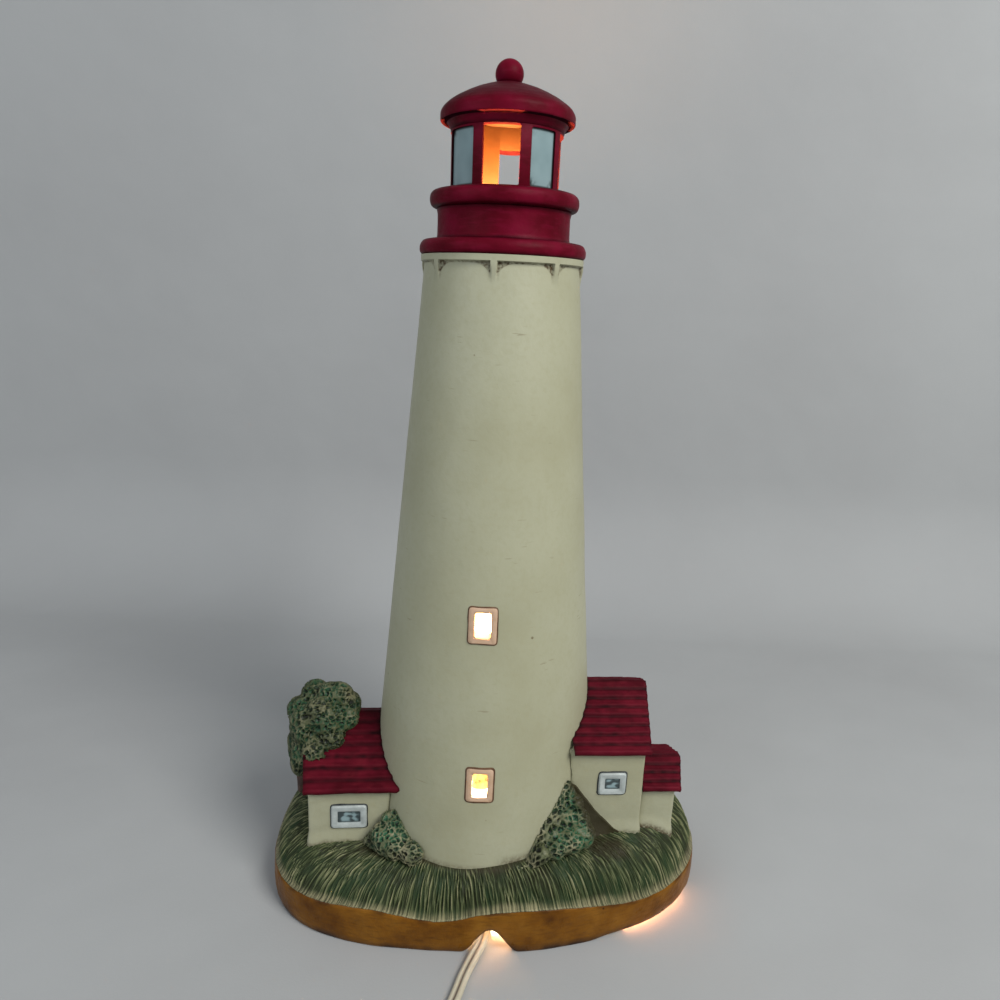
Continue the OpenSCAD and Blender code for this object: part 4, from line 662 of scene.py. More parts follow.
def lathe(name, node, outline, bore, lump, seed, dirt, n=256, lip=0.0):
    """A turned burgundy form on the tower's axis from a closed outline of radius and height."""
    r, z = np.asarray(outline, float).T
    t = np.arange(n)[:, None] * TAU / n
    points = xyz(r * np.cos(t), r * np.sin(t), z).reshape(-1, 3)
    grow = lump * (wobble(points, 13, seed) + 0.5 * wobble(points, 5, seed + 1))
    points[:, :2] *= (1 + grow / np.maximum(np.hypot(points[:, 0], points[:, 1]), 4))[:, None]
    stain_and_shade = dirt(points)
    points[:, 0] += TOWER_X
    obj = piece(name, points, loop_faces(n, len(outline)), LANTERN_PAINTS, [node], dirt=stain_and_shade)
    paint_lantern_inside(obj, bore, lip)


def paint_lantern_inside(obj, bore, lip=0.0):
    """Gives the lantern's inside paint to the faces within the bore that look inwards or down, and a darker
    matt red to those as far out as the lip: the jambs, and the brim's underside where it is painted shade."""
    for face in obj.data.polygons:
        c = face.center * 1000
        r = math.hypot(c.x - TOWER_X, c.y)
        inward = face.normal.dot(Vector((TOWER_X - c.x, -c.y, 0)).normalized())
        if r < bore and (inward > 0.3 or face.normal.z < -0.3):
            face.material_index = 1
        elif r < lip and inward > -0.5 and face.normal.z < 0.5:
            face.material_index = 2


def box(w, h):
    return [(-w / 2, -h / 2), (w / 2, -h / 2), (w / 2, h / 2), (-w / 2, h / 2)]


def rounded(points, radius, steps=3):
    """A closed outline with its corners rounded."""
    pts = [np.array(p, float) for p in points]
    out = []
    for i, p in enumerate(pts):
        before, after = pts[i - 1] - p, pts[(i + 1) % len(pts)] - p
        to_before, to_after = np.hypot(*before), np.hypot(*after)
        k = min(radius, 0.45 * to_before, 0.45 * to_after)
        start, end = p + before / to_before * k, p + after / to_after * k
        out += [(1 - t) ** 2 * start + 2 * t * (1 - t) * p + t * t * end
                for t in np.linspace(0, 1, steps + 1)]
    return np.array(out)


def front_prism(w, h, z, turn, reach=30, radius=0.9, steps=3, near=8.0, flare=0.0):
    """Scratch mesh of a rounded prism that leaves the tower's axis to the front, before its turn. Its
    inner end is wider on one side by flare, and higher by half of that."""
    ring = rounded(box(w, h), radius, steps)
    c, s = cos_sin(turn)
    points = []
    for y, k in ((near, flare), (reach, 0.0)):
        wide = [(x + k * (x > 0), v + 0.5 * k * (v > 0)) for x, v in ring]
        points += [(TOWER_X + x * c + y * s, x * s - y * c, z + v) for x, v in wide]
    return outward(new_mesh("cutter", points, loop_faces(2, len(ring), closed=False)))


def cut(mesh, cutters):
    for cutter in cutters:
        tool = bpy.data.objects.new("cutter", cutter)
        scene.collection.objects.link(tool)
        mesh = with_modifier(mesh, "BOOLEAN", operation="DIFFERENCE", solver="EXACT", object=tool)
        bpy.data.objects.remove(tool)
    return mesh


# Height, turn, width and height of the opening
WINDOWS = ((76.7, -0.5, 6.9, 10.9), (150.5, -2.2, 7.2, 11.3))


def make_tower():
    n, rib_r, rib_w, band_z, swell_z, swell_h = 512, 34.9, 2.8, 299.2, 290, 8.5
    zs = np.concatenate([np.arange(24, 285, 4.5), np.arange(286, 302.01, 0.4)])
    t = np.arange(n)[:, None] * TAU / n
    c, s, z = np.cos(t), np.sin(t), zs + 0 * t
    # How far a point is across its arch: 0 at the middle, 1 at the rib
    angle = (np.degrees(t) + 90 - ROOM_TURN) % 45 - 22.5
    across = np.abs(rib_r * np.radians(angle) / (rib_r * math.sin(math.pi / 8) - rib_w / 2))
    swell = np.clip((z - swell_z) / swell_h, 0, 1)
    side = smooth(across, 1.0 + 0.04 * (1 - swell), 1.045 + 0.05 * (1 - swell))
    depth = band_z - z
    over = smooth(-depth, -0.2, 0.3)
    wall = tower_r(z)
    r = wall + (rib_r - wall) * np.maximum(over, side) * smooth(swell)
    # Painted shade, brown, sits in the arches' corners over the rounded heads and beside the ribs, broken off
    # along the middle
    corner = np.clip((across - 0.42) / 0.58, 0, 1)
    head = 0.35 + 3.6 * corner ** 2.3
    edge = xyz(34 * c, 34 * s, 0).reshape(-1, 3)
    broken = (0.66 + 1.1 * wobble(edge, 9, 31) + 0.45 * wobble(edge, 2.5, 33))[:, None]
    spandrel = smooth(depth, -0.35, 0.05) * (1 - smooth(depth, head, head + 0.5)) * (1 - side)
    pier_shade = smooth(across, 0.93, 0.99) * (1 - side) * smooth(depth, 0, 1) * (1 - smooth(depth, 3.5, 8.5)) * 0.6
    shade = spandrel * np.clip(broken * (0.8 + 1.2 * corner), 0, 1) + pier_shade * np.clip(broken, 0, 1)
    inner_z = np.array([302.0, 260, 200, 150, 100, 60, 24])
    inner_r = tower_r(inner_z) - TOWER_WALL
    points = np.concatenate([xyz(r * c, r * s, z), xyz(inner_r * c, inner_r * s, inner_z)], 1)
    size = points.shape[1]
    flat = points.reshape(-1, 3)
    grow = 0.22 * wobble(flat, 30, 2) + 0.07 * wobble(flat, 8, 3)
    keep = np.tile(np.concatenate([np.ones(len(zs)), np.zeros(len(inner_z))]), n)
    flat[:, :2] *= (1 + grow * keep / np.hypot(flat[:, 0], flat[:, 1]))[:, None]
    # Painted shade where the tower's foot stands in the grass
    ground = ground_at(flat[:, 0] + TOWER_X, flat[:, 1])
    low = (1 - smooth(flat[:, 2] - ground, 0.4, 1.6)) * 0.8
    dirt = np.concatenate([shade, np.zeros((n, len(inner_z)))], 1).ravel() + low * keep
    flat[:, 0] += TOWER_X
    mesh = new_mesh("tower", flat, loop_faces(n, size))
    note(mesh, "dirt", np.clip(dirt, 0, 1))
    mesh = cut(outward(mesh), [front_prism(w, h, z, turn, 70, 1.5, 5) for z, turn, w, h in WINDOWS])
    obj = placed("tower_glaze", mesh, ("cream", "clay"), ["tower_shell"])
    for face in obj.data.polygons:
        c = face.center * 1000
        if math.hypot(c.x - TOWER_X, c.y) < tower_r(c.z) - TOWER_WALL / 2:
            face.material_index = 1


def joined(shapes):
    """Several shapes of points and faces as one."""
    faces, count = [], 0
    for points, own in shapes:
        faces += [tuple(i + count for i in face) for face in own]
        count += len(points)
    return np.concatenate([points for points, _ in shapes]), faces


def frame_bars(w, h, opening_w, opening_h, depth, seed):
    """A bordered window frame in its own plane: points across, up and out, with a soft profile."""
    loops = []
    profile = [(1.0, -0.3), (1.0, 0.55 * depth), (0.82, depth), (0.3, depth), (0.06, 0.7 * depth),
               (0.0, -0.3)]
    for share, out in profile:
        wide, tall = opening_w + (w - opening_w) * share, opening_h + (h - opening_h) * share
        loops.append([(x, v, out) for x, v in rounded(box(wide, tall), 0.6 + 0.9 * share, 4)])
    points = np.array(loops).transpose(1, 0, 2).reshape(-1, 3)
    return shaken(points, 0.14, 3, seed, seed + 4), loop_faces(len(loops[0]), len(profile))


def outline_bead(w, h, width, height, seed):
    """The hand-drawn dark line round a window: a flat bead of uneven width."""
    ring = rounded(box(w, h), 1.4, 5)
    dense = np.concatenate([np.linspace(ring[i], ring[(i + 1) % len(ring)], 5)[:-1]
                            for i in range(len(ring))])
    path = shaken(np.column_stack([dense, np.zeros(len(dense))]), 0.22, 4, seed, seed + 7)
    along = np.roll(path, -1, 0) - np.roll(path, 1, 0)
    side = xyz(along[:, 1], -along[:, 0], 0)
    side /= np.linalg.norm(side, axis=1)[:, None]
    thick = width * (1 + 0.45 * wobble(path, 3, seed + 2))
    rows = [(-0.5, -0.25), (-0.42, 0.5 * height), (0, height), (0.42, 0.5 * height), (0.5, -0.25)]
    points = np.stack([path + side * (k * thick)[:, None] + [0, 0, out] for k, out in rows], 1)
    return points.reshape(-1, 3), loop_faces(len(path), len(rows))


def on_tower(points, z0, turn):
    """Bends points drawn across, up and out onto the tower's wall."""
    across, up, out = points.T
    z = z0 + up
    r = tower_r(z) + out
    t = np.arcsin(across / r) + math.radians(turn)
    return xyz(TOWER_X + r * np.sin(t), -r * np.cos(t), z)


def make_tower_windows():
    borders, lines = [], []
    for k, (z, turn, w, h) in enumerate(WINDOWS):
        points, faces = frame_bars(w + 5.0, h + 4.8, w, h, 0.85, 11 + k)
        borders.append((on_tower(points, z, turn), faces))
        points, faces = outline_bead(w + 5.2, h + 5.0, (1.35, 0.8)[k], 0.5, 21 + k)
        lines.append((on_tower(points, z, turn), faces))
    points, faces = joined(borders)
    # Their warm tint is painted glow of the bulb's light
    piece("tower_window_borders", points, faces, "border", ["tower_window_frames"],
          dirt=0.35 * smooth(wobble(points, 3, 30), 0.1, 0.7))
    piece("tower_window_lines", *joined(lines), "line")


# Gallery, lantern and roof

def creases(*heights):
    """Painted shade in the grooves at these heights."""
    def stain_and_shade(points):
        d = np.min([np.abs(points[:, 2] - h) for h in heights], axis=0)
        return (1 - smooth(d, 0.2, 1.1)) * (0.55 + 0.35 * wobble(points, 7, 5))
    return stain_and_shade


def make_lantern():
    flange = [(23.3, 302), (34.6, 302), (35.6, 303.2), (35.7, 305.6), (34.3, 308.1), (29.5, 308.5),
              (23.3, 308.5)]
    lathe("flange_glaze", "gallery_flange", rounded(flange, 1.6, 4), bore=WELL_R, lump=0.2, seed=1,
          dirt=creases(302, 308.4))
    drum = [(23.3, 308.4), (29.0, 308.4), (28.4, 309.8), (28.2, 314), (28.3, 319), (28.9, RAIL_Z),
            (23.3, RAIL_Z)]
    lathe("drum_glaze", "lantern_drum", rounded(drum, 0.8), bore=WELL_R, lump=0.22, seed=3,
          dirt=creases(308.8, 320.4))
    rail = [(ROOM_BORE, RAIL_Z), (28.8, RAIL_Z), (31.0, 321.6), (31.6, 324), (31.2, 326.6), (29.6, ROOM_Z),
            (ROOM_BORE, ROOM_Z)]
    lathe("rail_glaze", "rail_ring", rounded(rail, 1.5, 4), bore=INSIDE_R, lump=0.22, seed=5,
          dirt=creases(RAIL_Z, ROOM_Z))
    roof = [(0.3, 366.2), (5.8, 365.6), (19.2, 358.6), (20.0, 357), (20.0, BRIM_Z), (ROOM_R, BRIM_Z),
            (23.9, 352.4), (24.7, 353.9), (25.6, 354.35), (27.5, 354.35), (27.85, 354.8), (27.85, 357.5),
            (27.5, 358.6), (26.6, 359.9), (24.9, 361.3), (22.2, 363.1), (18.5, 365.1), (14.5, 366.9),
            (10, 368.5), (5.8, 369.7), (0.3, 369.9)]
    # Painted shade in the groove over the brim, and on the dome, darker towards its top
    lathe("roof_glaze", "lantern_roof", rounded(roof, 0.6), bore=INSIDE_R, lump=0.22, seed=7,
          dirt=lambda p: creases(351.4)(p) + 0.6 * smooth(p[:, 2], 357, 363), lip=27.6)
    ball = [(5.8 * math.cos(v), 373.28 + 5.8 * math.sin(v))
            for v in np.linspace(-0.62, math.pi / 2 - 0.02, 22)]
    lathe("ball_glaze", "finial_ball", [(0.1, 369.9)] + ball, bore=0.0, lump=0.12, seed=9,
          dirt=creases(369.8), n=96)


# The painted windows' middles and half widths, in degrees round the lantern
PANES = ((40.4, 15.6), (130.0, 17.8), (220.0, 17.8), (306.5, 19.3))


def room_width(half_angle):
    return 2 * ROOM_R * math.sin(math.radians(half_angle))


def make_lantern_room():
    n = 160
    outline = [(ROOM_BORE, ROOM_Z), (ROOM_R, ROOM_Z), (ROOM_R, BRIM_Z), (20.6, BRIM_Z), (20.6, 357.6),
               (ROOM_BORE, 357.6)]
    points = [[TOWER_X + r * math.cos(v), r * math.sin(v), z] for v in np.arange(n) * TAU / n
              for r, z in outline]
    wide = room_width(WINDOW_HALF)
    openings = [front_prism(wide, WINDOW_H, WINDOW_Z, ROOM_TURN + 90 * k) for k in (1, 3)]
    openings.append(front_prism(wide, 22.2, 339.8, ROOM_TURN))
    # The window at the back is a little lower and narrower than the others, its jamb flared
    openings.append(front_prism(wide - 2.2, 17.9, 337.65, 173.3, reach=24, near=19, flare=3.2))
    openings += [front_prism(room_width(half), WINDOW_H, WINDOW_Z, turn, near=20.9)
                 for turn, half in PANES]
    mesh = cut(outward(new_mesh("room", points, loop_faces(n, len(outline)))), openings)
    mesh = with_modifier(mesh, "BEVEL", width=0.0004, segments=2, limit_method="ANGLE",
                         angle_limit=math.radians(38))
    paint_lantern_inside(placed("room_glaze", mesh, LANTERN_PAINTS, ["lantern_room"]), bore=INSIDE_R, lip=23.3)


# How strongly the brush smeared each pane's corners: lower left and right, upper left and right
SMEARS = ((1.0, 0.8, 0.25, 0.1), (0.5, 0.2, 0.6, 0.1), (0.2, 0.7, 0.2, 0.5), (0.1, 0.0, 1.0, 0.15))


def pane_dirt(k, u, v):
    """A dark line all round a pane, and the brush's smears in some of its corners."""
    edge = max(abs(u) * 0.975, abs(v) * 0.955)
    force = SMEARS[k][2 * (v > 0) + (u > 0)]
    away = math.hypot(1 - abs(u), 1.6 * (1 - abs(v)))
    streak = 0.5 + noise.noise(Vector((5 * u, 6 * v, 3.0 * k))) + 0.4 * noise.noise(
        Vector((14 * u, 12 * v, k)))
    smear = force * (1 - smooth(away, 0.2, 0.7)) * smooth(streak - 0.6 * away, 0.0, 0.25)
    return float(max(smooth(edge, 0.875, 0.905) * 0.9, smear))


def grid_faces(nu, nv):
    """Faces of a grid of nu by nv points, and its rim in order."""
    faces = [(i * nv + j, (i + 1) * nv + j, (i + 1) * nv + j + 1, i * nv + j + 1)
             for i in range(nu - 1) for j in range(nv - 1)]
    rim = [i * nv for i in range(nu)] + [(nu - 1) * nv + j for j in range(1, nv)]
    rim += [i * nv + nv - 1 for i in range(nu - 2, -1, -1)] + list(range(nv - 2, 0, -1))
    return faces, rim


def make_panes():
    shapes, dirt = [], []
    tall, nu, nv = 10.95, 34, 40
    for k, (turn, half) in enumerate(PANES):
        grid = [(-1 + 2 * i / (nu - 1), -1 + 2 * j / (nv - 1)) for i in range(nu) for j in range(nv)]

        def on_room(u, v, r):
            a = math.radians(turn + (half + 0.4) * u)
            return TOWER_X + r * math.sin(a), -r * math.cos(a), WINDOW_Z + tall * v

        front = [on_room(u, v, 22.6 - 0.25 * (1 - u * u) * (1 - v * v)) for u, v in grid]
        faces, rim = grid_faces(nu, nv)
        back, m = len(front), len(rim)
        dirt += [pane_dirt(k, u, v) for u, v in grid] + [0.5] * m
        faces += [(rim[q], rim[(q + 1) % m], back + (q + 1) % m, back + q) for q in range(m)]
        # The back is closed strip by strip between its lower and upper edge
        low = [back + i for i in range(nu)]
        high = [back + (nu - 1) + (nv - 1) + i for i in range(nu)][::-1]
        right = [back + nu - 1 + j for j in range(nv)]
        left = [back] + [back + m - j for j in range(1, nv - 1)] + [high[0]]
        faces += [(low[i], low[i + 1], high[i + 1], high[i]) for i in range(1, nu - 2)]
        faces += [tuple(left + [high[1], low[1]]), tuple(right + [high[nu - 2], low[nu - 2]])]
        shapes.append((front + [on_room(*grid[i], 21.0) for i in rim], faces))
    paint_lantern_inside(piece("pane_glaze", *joined(shapes), ("pane", "smoked"), ["blind_panes"], dirt=dirt), bore=21.6)


# Cottages

LEFT_TURN, RIGHT_TURN, EAVE = 6, 5, 3.0


def turned(points, turn):
    c, s = cos_sin(turn)
    x, y, z = np.asarray(points, float).T
    return xyz(TOWER_X + x * c - y * s, x * s + y * c, z)


def courses_down(courses):
    """Points up one slope: the share of the way, the thickness there and how deep in a groove."""
    per, down = 9, []
    for i in range(courses):
        for k in range(per):
            f = k / per
            bulge = 2.0 + 0.9 * (1 - f) + 0.35 * math.sin(math.pi * min(1, f * 2.2)) - 0.75 * math.exp(
                -(f * 9) ** 2) - 0.5 * math.exp(-((f - 1.0) * 9) ** 2)
            if i == 0:
                bulge += 0.35 * (1 - f)
            groove = 0.9 * math.exp(-(f * 8) ** 2) + 1.1 * math.exp(-((1 - f) * 5) ** 2)
            down.append(((i + k / per) / courses, bulge, groove if i or f > 0.5 else 0.0))
    return down + [(1.0, 1.9, 0.3)]


def roof_section(courses, half, eave_z, rise):
    """The roof's closed section: depth, height, share of the way up and groove of each point."""
    run, drop = half + EAVE, rise * EAVE / half
    pitch = math.atan(rise / half)
    down, ring = courses_down(courses), []
    for s in (-1, 1):
        for t, bulge, groove in down if s < 0 else down[::-1][1:]:
            y, z = run * (1 - t), eave_z - drop + (rise + drop) * t
            ring.append((s * (y + math.sin(pitch) * bulge * (1 - t ** 8)), z + math.cos(pitch) * bulge, t,
                         groove))
    ring.append((run, eave_z - drop + 0.1, 0.0, 0.2))
    for y in (0.5 * run, 0.0, -0.5 * run, -run):
        ring.append((y, eave_z - drop + (rise + drop) * (1 - abs(y) / run) + 0.15, 0.5, 0.2))
    return ring


def tiled_roof(name, node, side, end, half, shift, eave_z, rise, courses, turn, seed, inner=None,
               widest=99, square=False):
    """A gabled roof of rounded courses. inner is a plain start, or None to follow the tower, but no
    farther round it than the depth widest. A square one ends in one line behind its ridge."""
    ring = roof_section(courses, half, eave_z, rise)
    nx = 64
    points, dirt = [], []
    for u in (q / (nx - 1) for q in range(nx)):
        for y, z, t, groove in ring:
            depth = y - shift
            far = end + (4.3 if square and y > 0 else 4.5 * (1 - min(1, abs(y) / (half + EAVE))))
            start = inner or math.sqrt(max(1.0, (tower_r(z) + 0.2) ** 2 - min(abs(depth), widest) ** 2))
            x = start + (far - start) * u
            to_end, to_start = (1 - u) * (far - start), u * (far - start)
            end_round = 0.9 * (1 - smooth(to_end, 0, 1.6))
            wave = noise.noise(Vector((x / 17 + seed, t * courses * 0.8, seed)))
            fine = noise.noise(Vector((x / 4.5, t * courses * 1.7, seed + 3)))
            patch = noise.noise(Vector((x / 3.2, t * courses * 2.3, seed + 9)))
            lift = 0.45 * wave + 0.2 * fine - end_round * 0.5
            points.append((side * x, depth - math.copysign(0.25 * end_round, y), z + lift))
            # Painted shade in the grooves between the courses and where the roof meets the tower, a mottled
            # stain over the courses, and darker at the far end
            mottle = 0.22 * (t < 0.86) * (t > 0.16) * float(smooth(patch, 0.0, 0.5))
            end_dark = 0.25 * (1 - smooth(to_end, 0.2, 1.4))
            near = 0 if inner else 0.5 * (1 - smooth(to_start, 0.2, 1.6))
            dirt.append(min(1, max(0, groove * (0.74 + 0.5 * fine) + mottle + end_dark + near)))
    piece(name, turned(points, turn), loop_faces(nx, len(ring), closed=False), "tile", [node], 55, dirt=dirt)


def cottage_walls(name, node, seed, deeper_shade=0.0):
    """Walls that flare into the soil, with painted shade at their foot, higher and darker on the lean-to."""
    mesh = remeshed(node, 0.9, 6)
    p = positions(mesh)
    above = p[:, 2] - ground_at(p[:, 0], p[:, 1])
    flare = 1.1 * (1 - smooth(above, -1, 7)) + 0.18 * wobble(p, 9, seed) + 0.06 * wobble(p, 3, seed)
    p[:, :2] += normals(mesh)[:, :2] * flare[:, None]
    move_to(mesh, p)
    # Painted shade at the foot of the walls
    stain_and_shade = 1 - smooth(above + 1.2 * wobble(p, 5, seed + 2), 0.0, 1.2 + 1.6 * deeper_shade)
    note(mesh, "dirt", stain_and_shade * (0.55 + 0.35 * deeper_shade))
    placed(name, mesh, "cream", [node], 60)


def cottage_window(name, node, w, h, turn, x, y, z, seed):
    """A bordered plate with a painted pane, its dark outline and the sketchy lines of the pane."""
    inner_w, inner_h = w - 6.2, h - 6.2
    nu, nv = 24, 16
    grid = np.array([(-0.5 + i / (nu - 1), -0.5 + j / (nv - 1)) for i in range(nu) for j in range(nv)])
    pane = np.column_stack([grid * (inner_w + 0.6, inner_h + 0.6), np.full(len(grid), 0.55)])
    front, rim = grid_faces(nu, nv)
    back, m = len(grid), len(rim)
    sides = [(rim[i], rim[(i + 1) % m], back + rim[(i + 1) % m], back + rim[i]) for i in range(m)]
    faces = front + sides + [tuple(back + i for i in face) for face in front]
    edge = np.maximum(np.abs(grid[:, 0]) * 2, np.abs(grid[:, 1]) * 2)
    sketch = smooth(wobble(pane * [1, 1.4, 1], 2.3, seed) + 0.35 * edge, 0.05, 0.4)
    dark = np.maximum(0.8 * smooth(edge, 0.55, 0.9), 0.85 * sketch)

    def onto(points):
        return turned(xyz(x + points[:, 0], y - points[:, 2], z + points[:, 1]), turn)

    p, f = frame_bars(w, h, inner_w, inner_h, 1.35, seed)
    piece(name + "_frame", onto(p), f, "white", [node], dirt=0.2 * smooth(wobble(p, 2.5, seed), 0.1, 0.7))
    piece(name + "_pane", onto(np.concatenate([pane, pane - [0, 0, 0.7]])), faces, "pane", sharp=50,
          dirt=np.concatenate([dark, dark]))
    p, f = outline_bead(w + 0.3, h + 0.3, 0.95, 0.45, seed + 5)
    piece(name + "_line", onto(p), f, "ink")


def make_cottages():
    tiled_roof("left_roof_glaze", "left_cottage_roof", side=-1, end=86.1, half=30.4, shift=0.0,
               eave_z=61.65, rise=20.4, courses=7, turn=LEFT_TURN, seed=2.0)
    tiled_roof("right_roof_glaze", "right_cottage_roof", side=1, end=75.8, half=31.2, shift=6.0,
               eave_z=83.95, rise=17.2, courses=8, turn=RIGHT_TURN, seed=5.0, widest=34.5)
    tiled_roof("lean_roof_glaze", "lean_to_roof", side=1, end=93.2, half=14.5, shift=19.0,
               eave_z=60.85, rise=5.6, courses=4, turn=RIGHT_TURN, seed=8.0, inner=74.45, square=True)
    cottage_walls("left_walls_glaze", "left_cottage_walls", 3.0)
    cottage_walls("right_walls_glaze", "right_cottage_walls", 6.0)
    cottage_walls("lean_walls_glaze", "lean_to_walls", 9.0, deeper_shade=1.0)
    cottage_window("left_window", "left_cottage_window", w=16.6, h=12.1, turn=LEFT_TURN, x=-65.5, y=-30.4,
                   z=45.5, seed=41.0)
    cottage_window("right_window", "right_cottage_window", w=13.0, h=11.6, turn=RIGHT_TURN, x=58.9,
                   y=-37.2, z=65.8, seed=47.0)


# Planting

def carved(name, node, voxel, size, depth, seed, earth=None, lobes=(), shift=None, paint="leaf"):
    """Foliage as the mould leaves it: a net of pale rims round dark, deep holes. earth and shift work
    out the bare earth and a drop at each point, and lobes are added first."""
    mesh = remeshed(node, voxel, 6, lobes)
    p, n = positions(mesh), normals(mesh)
    if shift is not None:
        p[:, 2] -= shift(p)
    warped = shaken(p, 1.2, 5, seed + 1, seed + 2, seed + 3)
    cell = net(warped, size, seed)
    rim = 1 - smooth(cell, 0.07, 0.36)
    small = 1 - smooth(net(warped, size * 0.55, seed + 5), 0.06, 0.28)
    relief = np.clip(rim * 0.85 + small * 0.28 * (1 - rim), 0, 1)
    lumps = wobble(p, 9, seed + 9)
    p = p + n * ((relief - 0.72) * depth + 0.5 * lumps)[:, None]
    move_to(mesh, p)
    note(mesh, "relief", relief)
    note(mesh, "earth", np.zeros(len(p)) if earth is None else earth(p))
    placed(name, mesh, paint, [node], 80)


def make_bank():
    """The bank of bare earth that leans on the right cottage's wall beside its bush."""
    line = np.array([(38, 67), (41.6, 65), (44.8, 60.6), (48.6, 55.6), (52.8, 50), (57.6, 45), (62.4, 40.6),
                     (67.5, 37.6), (72, 35)])
    back, lip, face, foot = -34.5, -37.4, -38.6, 34.5
    xs = np.linspace(38, 72, 60)
    points = []
    for x, z in zip(xs, np.interp(xs, *line.T)):
        out, top = 1.2 + 0.27 * max(0, z - 37), z - 0.3
        points += [(x, back, z - 0.6), (x, lip, z + 0.1), (x, face, top)]
        points += [(x, face - out * k ** 1.7, foot + (top - foot) * (1 - k)) for k in np.linspace(0.1, 1, 14)]
        points.append((x, back, foot))
    p = shaken(points, 0.35, 4, 61, 62, 63)
    piece("earth_bank", turned(p, RIGHT_TURN), loop_faces(len(xs), len(p) // len(xs), closed=False), "leaf",
          sharp=60, relief=np.full(len(p), 0.5), earth=np.ones(len(p)))


def make_planting():
    crown = [((-84, -25, 71), (7, 6, 6.5)), ((-90, -22, 68.5), (7, 6, 7)), ((-77.5, -21, 77), (7, 6, 6)),
             ((-71.5, -14, 84), (6.5, 6, 6)), ((-70.5, -10, 88), (6, 7, 7)),
             ((-76, -10, 93.5), (7.5, 7, 6.5)), ((-81, -20, 84), (9, 6, 8)), ((-90, -18, 81), (8, 7, 11))]
    carved("tree_leaves", "tree_crown", voxel=0.62, size=2.4, depth=1.8, seed=1.0, lobes=crown, paint="tree",
           shift=lambda p: 6.0 * smooth(-86 - p[:, 0], 0, 7) * smooth(76 - p[:, 2], 0, 12))
    carved("left_bush_leaves", "left_bush", voxel=0.5, size=2.4, depth=1.5, seed=4.0)
    carved("right_bush_leaves", "right_bushes", voxel=0.55, size=2.5, depth=1.5, seed=7.0,
           earth=lambda p: 0.9 * smooth(p[:, 0] - 50 + (p[:, 2] - 40) * 0.5 + 1.5 * wobble(p, 5, 2), 0, 3),
           shift=lambda p: 7 * smooth(26 - p[:, 0], 0, 10))
    make_bank()
    mesh = remeshed("tree_trunk", 0.8)
    p = positions(mesh)
    bark = 0.5 * wobble(p * [1, 1, 0.35], 3, 3)
    move_to(mesh, p + normals(mesh) * bark[:, None] - [1.5, 3.0, 0])
    placed("trunk_bark", mesh, "earth", ["tree_trunk"], 60)


# Cord, switch and plug

CORD_W, CORD_T = 5.2, 2.7
RUN = [(0.4, -58, 5.2), (0.6, -60.5, 5), (0.3, -63, 4.4), (-0.8, -66, 3.4), (-2.4, -69, 2.6),
       (-4.2, -72.8, 1.9), (-6, -77, 1.55), (-7.8, -82, 1.45), (-9.5, -88, 1.45), (-11.4, -94, 1.45),
       (-14.6, -101, 1.45), (-20, -108, 1.45), (-27.5, -114, 1.45), (-35.5, -119.2, 1.45),
       (-43, -125, 1.5), (-48.7, -132, 2.4), (-52.2, -139.5, 4.2), (-53.8, -146, 6.3), (-54, -151, 7)]
LEAD = [(-54, -203, 7), (-54, -207, 6.6), (-52.6, -212, 4.6), (-48.5, -218, 2.4), (-42, -223, 1.5),
        (-34, -225, 1.45), (-26, -223.5, 1.45), (-18, -218, 1.45), (-12.5, -210, 1.45),
        (-10, -200, 1.45), (-9.5, -190, 1.45), (-9.5, -178, 1.45), (-9.5, -167, 1.45),
        (-9.4, -160.4, 1.45)]
TAIL = [(69.5, -134.8, 4.65), (72.2, -138.4, 4.65), (76, -143.8, 4.5), (80, -149.7, 4.4),
        (84, -156, 4.6), (87, -162, 5.4), (88.7, -166, 6.3), (89, -168.6, 6.5), (89, -171, 6.5)]
COIL_TURNS, COIL_R, COIL_GAP, COIL_AT = 7.4, 31.2, 0.5, (32.45, -155)


def coil_points(per_turn=48):
    half, pitch, layer = COIL_TURNS / 2, CORD_W + COIL_GAP, CORD_T + COIL_GAP
    steps = round(COIL_TURNS * per_turn)
    points = []
    for i in range(steps + 1):
        t = COIL_TURNS * i / steps
        r = COIL_R + pitch * half / 2 - pitch * min(t, COIL_TURNS - t)
        a = math.radians(180 - 360 * t)
        rise = float(smooth((t - half + 0.25) * 2))
        points.append((COIL_AT[0] + r * math.cos(a), COIL_AT[1] + r * math.sin(a),
                       CORD_T / 2 + 0.1 + layer * rise))
    return points


def smoothed(route, step=1.2):
    """More points on a smooth curve through the route's points."""
    p = np.array(route, float)
    q = np.vstack([2 * p[0] - p[1], p, 2 * p[-1] - p[-2]])
    out = []
    for i in range(1, len(q) - 2):
        count = max(2, int(np.linalg.norm(q[i + 1] - q[i]) / step))
        for k in range(count):
            t = k / count
            out.append(0.5 * (2 * q[i] + (q[i + 1] - q[i - 1]) * t
                              + (2 * q[i - 1] - 5 * q[i] + 4 * q[i + 1] - q[i + 2]) * t * t
                              + (3 * q[i] - q[i - 1] - 3 * q[i + 1] + q[i + 2]) * t ** 3))
    return np.array(out + [p[-1]])


